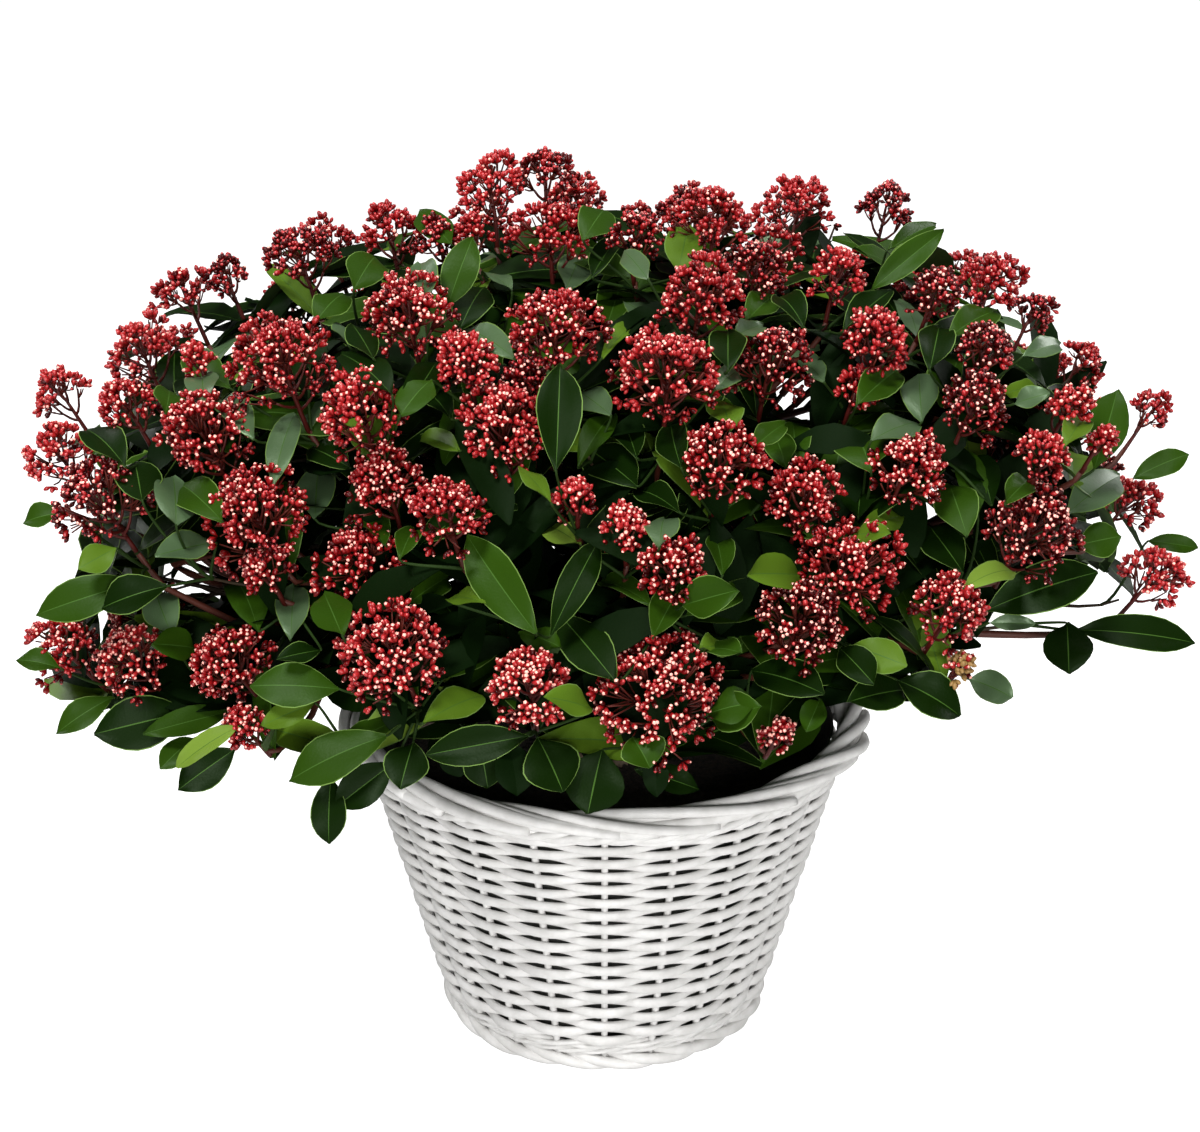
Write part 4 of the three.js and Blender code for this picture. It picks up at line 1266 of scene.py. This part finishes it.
def bough_leaves():
    """Old leaves on the boughs, over the soil and inside the rim, spread or hanging, near-black
    with painted shade.
    """
    stretches = (BOUGH_LEAVES, 1, bough_lines.shape[1] - 1, 1)
    at = mix(bough_lines[:, :-1], bough_lines[:, 1:], rng.uniform(size=stretches)).reshape(-1, 3)
    spread = rng.normal(scale=BOUGH_SPREAD, size=at.shape)
    chord = unit(unit(at - FORK) + spread + BOUGH_DROOP * UP)
    face = square_to(rng.normal(scale=BOUGH_FACE_SPREAD, size=at.shape) + UP, chord)
    leaves, tips = old_leaves(at, chord, face, BOUGH_LENGTHS, LEAF_WIDTHS)
    out, level = np.linalg.norm(tips[:, :2], axis=1), tips[:, 2]
    inside = out < mix(*BASKET_ROOM, (level - OVER_SOIL) / (OVER_RIM - OVER_SOIL))
    kept = (level > OVER_SOIL) & (inside | (level > OVER_RIM))
    kept &= (below_hem(tips) < BOUGH_LEAF_HANG) & (out < BOUGH_LEAF_REACH)
    return [a[kept] for a in leaves]


def inner_leaves(kept_stems):
    """Old leaves inside the crown, on the stems below the whorls, short of light and near-black with
    painted shade.
    """
    at = kept_stems[:, INNER_PLACES].reshape(-1, 3)
    at = at[rng.uniform(size=len(at)) < INNER_SHARE]
    outward = unit(at - FORK)
    any_way = unit(rng.normal(size=at.shape))
    chord = unit(outward * INNER_OUT + any_way + INNER_DROOP * UP)
    face = outward * INNER_FACE_OUT + INNER_FACE_LIFT * UP
    face = square_to(face + rng.normal(scale=INNER_FACE_SPREAD, size=at.shape), chord)
    leaves, tips = old_leaves(at, chord, face, INNER_LENGTHS, INNER_WIDTHS)
    kept = (beyond_crown(tips) < -INNER_DEPTH) & (below_hem(tips) == 0)
    kept &= ~across_gap(at, tips, leaves[4])
    return [a[kept] for a in leaves]


def by_azimuth(points, pieces):
    """The numbers of points in groups of one size, by their side of the plant, from the first."""
    azimuth = np.arctan2(points[:, 0], -points[:, 1])
    return enumerate(np.array_split(np.argsort(azimuth, kind="stable"), pieces), 1)


whorls, leaf_shoot = whorl_leaves()
part = leaf_parts(front_leaves(), FINE_ALONG, FINE_ACROSS, FINE_STRIPS)
make_piece("front_leaves", part, LEAF_FINISHES)
for k, chosen in by_azimuth(whorls[0], LEAF_PIECES):
    part = leaf_parts([a[chosen] for a in whorls], LEAF_ALONG, LEAF_ACROSS, LEAF_STRIPS)
    make_piece(f"leaves_{k}", part, LEAF_FINISHES, mass_names)

# A stem is needed by its head, its leaves, or a stem that springs from it
stem_needed = (shoot_kind != LEAFY) | (np.bincount(leaf_shoot, minlength=len(stems)) > 0)
for i in np.argsort(np.linalg.norm(shoot_foot - FORK, axis=1))[::-1]:
    if stem_needed[i] and stem_parent[i] >= 0:
        stem_needed[stem_parent[i]] = True

painted_shade = [np.concatenate(pair) for pair in zip(inner_leaves(stems[stem_needed]), bough_leaves())]
part = leaf_parts(painted_shade, LEAF_ALONG, UNDER_ACROSS, PLAIN_STRIPS)
make_piece("inner_leaves", part, LEAF_FINISHES)

STEM_GRAIN = (300, 1500, 0.5, 0.0005)
STEM_FINISHES = [
    finish("stem_reddish", (0.055, 0.012, 0.006), 0.55, STEM_GRAIN, Specular_IOR_Level=0.3),
    finish("stem_brown", (0.024, 0.015, 0.007), 0.65, STEM_GRAIN, Specular_IOR_Level=0.2),
    finish("stem_green", (0.012, 0.028, 0.004), 0.65, STEM_GRAIN, Specular_IOR_Level=0.1),
]
STEM_TAPER = mix(0.0027, 0.0016, np.linspace(0, 1, STEM_POINTS))
LEAFY_TAPER = mix(0.9, 0.45, np.linspace(0, 1, STEM_POINTS))
SINGLE_TAPER = 0.42
STEM_SIDES = 6


def stem_part(kind, thickness):
    """The needed stems of one kind of shoot, as tapering rods."""
    chosen = stem_needed & (shoot_kind == kind)
    return rods(stems[chosen], STEM_TAPER * thickness, STEM_SIDES, ANY_WAY, finish=kind)


tapers = ((BEARING, 1.0), (LEAFY, LEAFY_TAPER), (SINGLE, SINGLE_TAPER))
make_piece("stems", [stem_part(*taper) for taper in tapers], STEM_FINISHES)

# ---------------- flower heads

BUD_LENGTH, BUD_RADIUS = 0.0041, 0.00158
BUD_SIDES = 5
CROWDING = 1.45  # how much closer together the bud groups are at the top of a head
BUD_HEIGHTS, BUD_GIRTHS = (0.42, 0.84), (1.0, 0.65)
BUD_FOOT, BUD_TIP = -0.55, 1.04
PEDICEL = 0.0020
BUDS_TO_GROUP = (3, 6)
FIRST_LEAN, OTHER_LEAN = (0, 22), (30, 62)  # degrees from the twig
LOW_SIZE, FIRST_SIZE, BUD_SIZES = 0.88, 1.1, (0.86, 1.12)
LOW_PAINTED_SHADE, LOW_PALE_AND_GLINT = 0.65, 0.45  # how many low groups are dark as painted shade, and the share of pale tips, partly painted glints, that low buds keep
OWN_TONE = 0.75  # how many buds have their head's tone

# Pairs are for a dense head and an open one, and lengths without a unit shares of its width
FULL_WIDTH, FULL_GROUPS = 0.060, 62  # bud groups on a dense head of this width
OPEN_SHARE = 0.66  # of them on an open one
FEWEST_GROUPS, MOST_GROUPS = 16, 140
FRONT_FULLNESS, HIDDEN_FULLNESS = 1.30, 0.85
GROUPS_TO_BRANCH, FEWEST_BRANCHES = 5.5, 6
WIDEST = (122, 98)  # degrees from the head's top to its lowest groups
CLUMPING = (0.08, 0.30)  # how far groups are pulled together to their main branch
SCATTER, BRANCH_SWELL, GROUP_SWELL = 0.09, 0.14, 0.07
BUD_ROOM = 0.0092  # metres from the middles of the outer groups to the head's edge
HALF_HEIGHT, STALK_END = 0.35, 0.68
LOWEST_FORK, TOP_FORK, DROOP = 0.20, 0.66, -0.4  # a branch that rises by droop starts lowest
BRANCH_END = 0.56  # where a main branch divides, as a share of its way
OUT_FROM = 0.85  # groups point away from here, as a share of the height of the head's middle
LOW_SPREAD, LOW_SPREADS = 0.5, (-0.6, 1)  # how unevenly the low groups stand out
SHAPES = (0.88, 1.06)
TONE_CHANCES = ((0.52, 0.38, 0.10), (0.55, 0.15, 0.30))
# Shares of pale bud tips, partly painted glints, for a dense head and an open one, so heads seen from
# the side get fewer
PALE_AND_GLINT_TIPS, PALE_AND_GLINT_VARIETY = (0.80, 0.25), (0.6, 1.15)
HIGH_FROM, HIGH_RANGE, HIGH_PALE_AND_GLINT = 0.36, 0.18, 0.55  # high heads have fewer pale tips, which are partly painted glints
DRY_SHARE = 0.6
STALK_POINTS, BRANCH_POINTS, TWIG_POINTS = 5, 4, 3
STALK_BOW, BRANCH_BOW, TWIG_BOW = 0.001, -0.0016, -0.0006  # metres, as the next two
STALK_SINK = 0.004  # how deep a stalk's foot is in its stem
TWIG_GAP = 0.0012  # between a twig's end and the place of its buds
BUD_FINISHES = [
    finish("bud_crimson", (0.185, 0.0036, 0.0045), 0.32, Specular_IOR_Level=0.3),
    finish("bud_rose", (0.285, 0.010, 0.011), 0.32, Specular_IOR_Level=0.35),
    # A dark tone of its own, and painted shade on low groups
    finish("bud_dark_tone_and_shade", (0.046, 0.0011, 0.0013), 0.34, Specular_IOR_Level=0.2),
    # Pale pink tips, partly a painted glint
    finish("bud_tip_pale_and_glint", (0.900, 0.400, 0.330), 0.3),
    finish("bud_tip_red", (0.380, 0.024, 0.026), 0.3),
    finish("bud_dry", (0.230, 0.130, 0.035), 0.6),
]
BUD_TONES, PAINTED_SHADE_BUD, PALE_TIP_AND_GLINT, TIP_RED, DRY_BUD = 3, 2, 3, 4, 5
DRY_HEAD = FRONT_HEADS.index((958, 668, 0.026))  # a head that has withered
LOW_OUT = 0.28  # rise of the direction below which a bud group counts as low
STALK_FINISHES = [
    finish("stalk_red", (0.050, 0.0045, 0.003), 0.5, Specular_IOR_Level=0.2),
    finish("stalk_russet", (0.075, 0.009, 0.005), 0.5, Specular_IOR_Level=0.2),
]


def dome(count, spin, widest):
    """Directions over a cap of a sphere, a golden angle apart and closer near its top."""
    cosine = 1 - ((np.arange(count) + 0.5) / count) ** CROWDING * (1 - math.cos(widest))
    turn = spin + np.arange(count) * GOLDEN_ANGLE
    sine = np.sqrt(1 - cosine**2)
    return np.stack([sine * np.cos(turn), sine * np.sin(turn), cosine], axis=-1)


def panicle(width, openness, fullness):
    """One head, a branched dome on its own upright axis from its foot. Groups of buds lie on an
    ellipsoid at golden angles, pulled together into the clumps of the main branches. A main
    branch leaves the stalk lower the further it leans out, and divides at over half its way."""
    size = fullness * (width / FULL_WIDTH) ** 2 * mix(1, OPEN_SHARE, openness)
    groups = int(np.clip(round(FULL_GROUPS * size), FEWEST_GROUPS, MOST_GROUPS))
    mains = max(FEWEST_BRANCHES, round(groups / GROUPS_TO_BRANCH))
    widest = math.radians(mix(*WIDEST, openness))
    lines = dome(groups, 0.0, widest) + rng.normal(scale=SCATTER, size=(groups, 3))
    main_lines = dome(mains, rng.uniform(*ANY_TURN), widest)
    owner = np.argmax(lines @ main_lines.T, axis=1)
    lines = unit(mix(lines, main_lines[owner], mix(*CLUMPING, openness)))
    wide = 0.5 * width - BUD_ROOM
    shape = np.array([wide, wide, HALF_HEIGHT * width]) * rng.uniform(*SHAPES, 3)
    swell = (1 + rng.normal(scale=BRANCH_SWELL, size=mains))[owner]
    swell = swell + rng.normal(scale=GROUP_SWELL, size=groups)
    low = np.clip(-lines[:, 2:], 0, 1)
    heart = STALK_SHARE * width * UP
    swell = swell[:, None] + LOW_SPREAD * low * rng.uniform(*LOW_SPREADS, (groups, 1))
    ends = lines * shape * swell + heart
    lean = np.clip(main_lines[:, 2:], DROOP, 1)
    forks = mix(LOWEST_FORK, TOP_FORK, (lean - DROOP) / (1 - DROOP)) * width * UP
    main_ends = mix(forks, main_lines * shape + heart, BRANCH_END)
    return forks, main_ends, owner, ends, unit(ends - OUT_FROM * heart)


def curved(a, b, bulge, steps):
    """Paths from a to b that bow by bulge in the middle."""
    t = np.linspace(0, 1, steps)[None, :, None]
    return mix(a[:, None], b[:, None], t) + 4 * t * (1 - t) * bulge


def group_of_buds(at, way, tone, pale_and_glint, low):
    """Three to five buds on each twig's end, the first one along it and the rest leaning out
    round it: place, direction, size and two finishes of each. The low ones are smaller, often
    dark as painted shade, and have fewer pale tips, which are partly painted glints."""
    count = rng.integers(*BUDS_TO_GROUP, len(at))
    tone = np.where(low & (rng.uniform(size=len(at)) < LOW_PAINTED_SHADE), PAINTED_SHADE_BUD, tone)
    pale_and_glint = np.where(low, LOW_PALE_AND_GLINT, 1.0) * pale_and_glint
    spin = rng.uniform(*ANY_TURN, len(at))
    side = square_to(np.broadcast_to(ANY_WAY, way.shape), way)
    buds = []
    for k in range(BUDS_TO_GROUP[1] - 1):
        has = count > k
        some = int(has.sum())
        lean = np.radians(rng.uniform(*(OTHER_LEAN if k else FIRST_LEAN), some))[:, None]
        around = spin[has] + k * 2 * math.pi / (count[has] - 1) + rng.uniform(-0.5, 0.5, some)
        own = way[has] * np.cos(lean) + turned(side[has], way[has], around) * np.sin(lean)
        size = rng.uniform(*BUD_SIZES, some) * (1.0 if k else FIRST_SIZE)
        size = size * np.where(low[has], LOW_SIZE, 1.0)
        any_tone = rng.uniform(size=some) >= OWN_TONE
        body = np.where(any_tone, rng.integers(0, BUD_TONES, some), tone[has])
        tip = np.where(rng.uniform(size=some) < pale_and_glint[has], PALE_TIP_AND_GLINT, TIP_RED)
        buds.append(np.column_stack([at[has] + own * PEDICEL, own, size, body, tip]))
    return np.concatenate(buds)


def grow_heads():
    """All the heads: their buds, and the lines of their stalks, branches and twigs."""
    buds, stalks, branches, twigs = [], [], [], []
    for number, (middle, width, axis, openness) in enumerate(heads):
        fullness = FRONT_FULLNESS if number < FRONT_COUNT else HIDDEN_FULLNESS
        foot = middle - axis * STALK_SHARE * width
        across = turned(square_to(ANY_WAY, axis), axis, np.array(rng.uniform(*ANY_TURN)))
        own_frame = np.stack([across, np.cross(axis, across), axis])
        forks, main_ends, owner, ends, out = panicle(width, openness, fullness)
        forks, main_ends, ends = (foot + p @ own_frame for p in (forks, main_ends, ends))
        low = out[:, 2] < LOW_OUT
        out = out @ own_frame
        bow = rng.normal(scale=STALK_BOW, size=(1, 3))
        stalk_end = foot[None] + axis * STALK_END * width
        stalks.append(curved(foot[None] - axis * STALK_SINK, stalk_end, bow, STALK_POINTS))
        branches.append(curved(forks, main_ends, BRANCH_BOW * axis, BRANCH_POINTS))
        twig_ends = ends - out * TWIG_GAP
        twigs.append(curved(main_ends[owner], twig_ends, TWIG_BOW * axis, TWIG_POINTS))
        tone = rng.choice(BUD_TONES, p=TONE_CHANCES[int(openness >= 0.5)])
        high = np.clip((middle[2] - HIGH_FROM) / HIGH_RANGE, 0, 1)
        # Fewer pale tips, partly painted glints, on heads seen from the side and high up
        pale_and_glint = mix(*PALE_AND_GLINT_TIPS, openness) * mix(1.0, HIGH_PALE_AND_GLINT, high) * rng.uniform(*PALE_AND_GLINT_VARIETY)
        grown = group_of_buds(ends, out, tone, pale_and_glint, low)
        if number == DRY_HEAD:
            grown[rng.uniform(size=len(grown)) < DRY_SHARE, -2:] = DRY_BUD
        buds.append(grown)
    return np.concatenate(buds), stalks, branches, twigs


def bud_part(buds):
    """Buds turned round their own axes: from a point at the foot to a belly, a shoulder and a
    rounded tip, which is a colour of its own; a pale tip is partly a painted glint."""
    at, way, size = buds[:, None, 0:3], buds[:, None, 3:6], buds[:, None, 6:7]
    body, tip = buds[:, 7].astype(int), buds[:, 8].astype(int)
    first = square_to(np.broadcast_to(ANY_WAY, way.shape), way)
    angle = evenly_round(BUD_SIDES)[:, None]
    ring = first * np.cos(angle) + np.cross(way, first) * np.sin(angle)
    rings = [
        at + size * (way * h * BUD_LENGTH + ring * g * BUD_RADIUS)
        for h, g in zip(BUD_HEIGHTS, BUD_GIRTHS)
    ]
    ends = [at + size * way * share * BUD_LENGTH for share in (BUD_FOOT, BUD_TIP)]
    points = np.concatenate([ends[0], *rings, ends[1]], axis=1)
    each = points.shape[1]
    start = np.arange(len(buds))[:, None, None] * each
    side = np.arange(BUD_SIDES)
    beside = (side + 1) % BUD_SIDES
    low = np.stack([0 * side, 1 + beside, 1 + side], axis=-1)
    wall = np.stack([1 + side, 1 + beside, 1 + BUD_SIDES + beside, 1 + BUD_SIDES + side], axis=-1)
    cap = np.stack([1 + BUD_SIDES + side, 1 + BUD_SIDES + beside, 0 * side + each - 1], axis=-1)
    faces = [(start + f).reshape(-1, f.shape[1]) for f in (low, wall, cap)]
    body, tip = np.repeat(body, BUD_SIDES), np.repeat(tip, BUD_SIDES)
    return points.reshape(-1, 3), faces, [body, body, tip]


all_buds, stalks, branches, twigs = grow_heads()
for k, chosen in by_azimuth(all_buds, BUD_PIECES):
    make_piece(f"buds_{k}", [bud_part(all_buds[chosen])], BUD_FINISHES)

# Paths, the girths at their ends, sides and finish
stalk_parts = []
for paths, thick, thin, sides, colour in (
    (stalks, 0.0016, 0.0010, 6, 0),
    (branches, 0.00105, 0.00075, 5, 0),
    (twigs, 0.00072, 0.00052, 3, 1),
):
    paths = np.concatenate(paths)
    girth = np.linspace(thick, thin, paths.shape[1])
    stalk_parts.append(rods(paths, girth, sides, ANY_WAY, finish=colour))
make_piece("head_stalks", stalk_parts, STALK_FINISHES)

# ---------------- studio

FLOOR_HALF, FLOOR_GREY, FLOOR_ROUGHNESS = 12, (0.32, 0.32, 0.32), 0.9
FLOOR_LIGHT, AIR_LIGHT, SEEN_LIGHT = 0.36, 0.06, 1.0  # what each gives, and how both look
# Lights: name, place, what they face, size in metres and watts
LIGHTS = (
    ("key_light", (-0.8, -1.5, 2.6), (0, 0, 0.35), 0.6, 92),
    ("front_light", (0.3, -2.6, 0.75), (0, 0, 0.25), 0.9, 56),
    ("top_light", (0.2, 0.2, 2.7), (0, 0, 0.35), 1.2, 45),
    ("back_light_left", (-2.1, 1.3, 1.3), (0, 0, 0.3), 1.0, 26),
    ("back_light_right", (2.1, 1.3, 1.3), (0, 0, 0.3), 1.0, 26),
)


def look_white(tree, socket, lit, seen):
    """A strength that is seen by the camera and lit for everything else."""
    path, strength = tree.nodes.new("ShaderNodeLightPath"), tree.nodes.new("ShaderNodeMapRange")
    strength.inputs["To Min"].default_value = lit
    strength.inputs["To Max"].default_value = seen
    tree.links.new(path.outputs["Is Camera Ray"], strength.inputs["Value"])
    tree.links.new(strength.outputs["Result"], socket)


def studio_floor():
    """A wide plain floor under the basket."""
    mesh = bpy.data.meshes.new("studio_floor")
    corners = [(u * FLOOR_HALF, v * FLOOR_HALF, 0) for u, v in ((-1, -1), (1, -1), (1, 1), (-1, 1))]
    mesh.from_pydata(corners, [], [(0, 1, 2, 3)])
    white = finish("studio_white", FLOOR_GREY, FLOOR_ROUGHNESS, Emission_Color=(1, 1, 1, 1))
    shader = white.node_tree.nodes["Principled BSDF"]
    look_white(white.node_tree, shader.inputs["Emission Strength"], FLOOR_LIGHT, SEEN_LIGHT)
    mesh.materials.append(white)
    floor = bpy.data.objects.new("studio_floor", mesh)
    bpy.context.scene.collection.objects.link(floor)


def area_light(name, at, aim, size, watts):
    """A square soft light at a place, turned to face aim."""
    light = bpy.data.lights.new(name, "AREA")
    light.size, light.energy = size, watts
    lamp = bpy.data.objects.new(name, light)
    lamp.location = at
    lamp.rotation_euler = (Vector(aim) - Vector(at)).to_track_quat("-Z", "Y").to_euler()
    bpy.context.scene.collection.objects.link(lamp)


studio_floor()
for light in LIGHTS:
    area_light(*light)


def studio_air():
    """Air that looks white past the floor's edge and lights the object only a little."""
    world = bpy.data.worlds.new("studio_air")
    world.use_nodes = True
    background = world.node_tree.nodes["Background"]
    background.inputs["Color"].default_value = (1, 1, 1, 1)
    look_white(world.node_tree, background.inputs["Strength"], AIR_LIGHT, SEEN_LIGHT)
    bpy.context.scene.world = world


studio_air()
bpy.context.scene.view_settings.view_transform = "Standard"

camera = bpy.data.objects.new("camera", bpy.data.cameras.new("camera"))
camera.data.sensor_width = SENSOR_WIDTH
camera.data.lens = FOCAL_PIXELS / IMAGE_WIDTH * SENSOR_WIDTH
camera.location = camera_at
camera.rotation_euler = Vector(AHEAD).to_track_quat("-Z", "Y").to_euler()
bpy.context.scene.collection.objects.link(camera)
bpy.context.scene.camera = camera
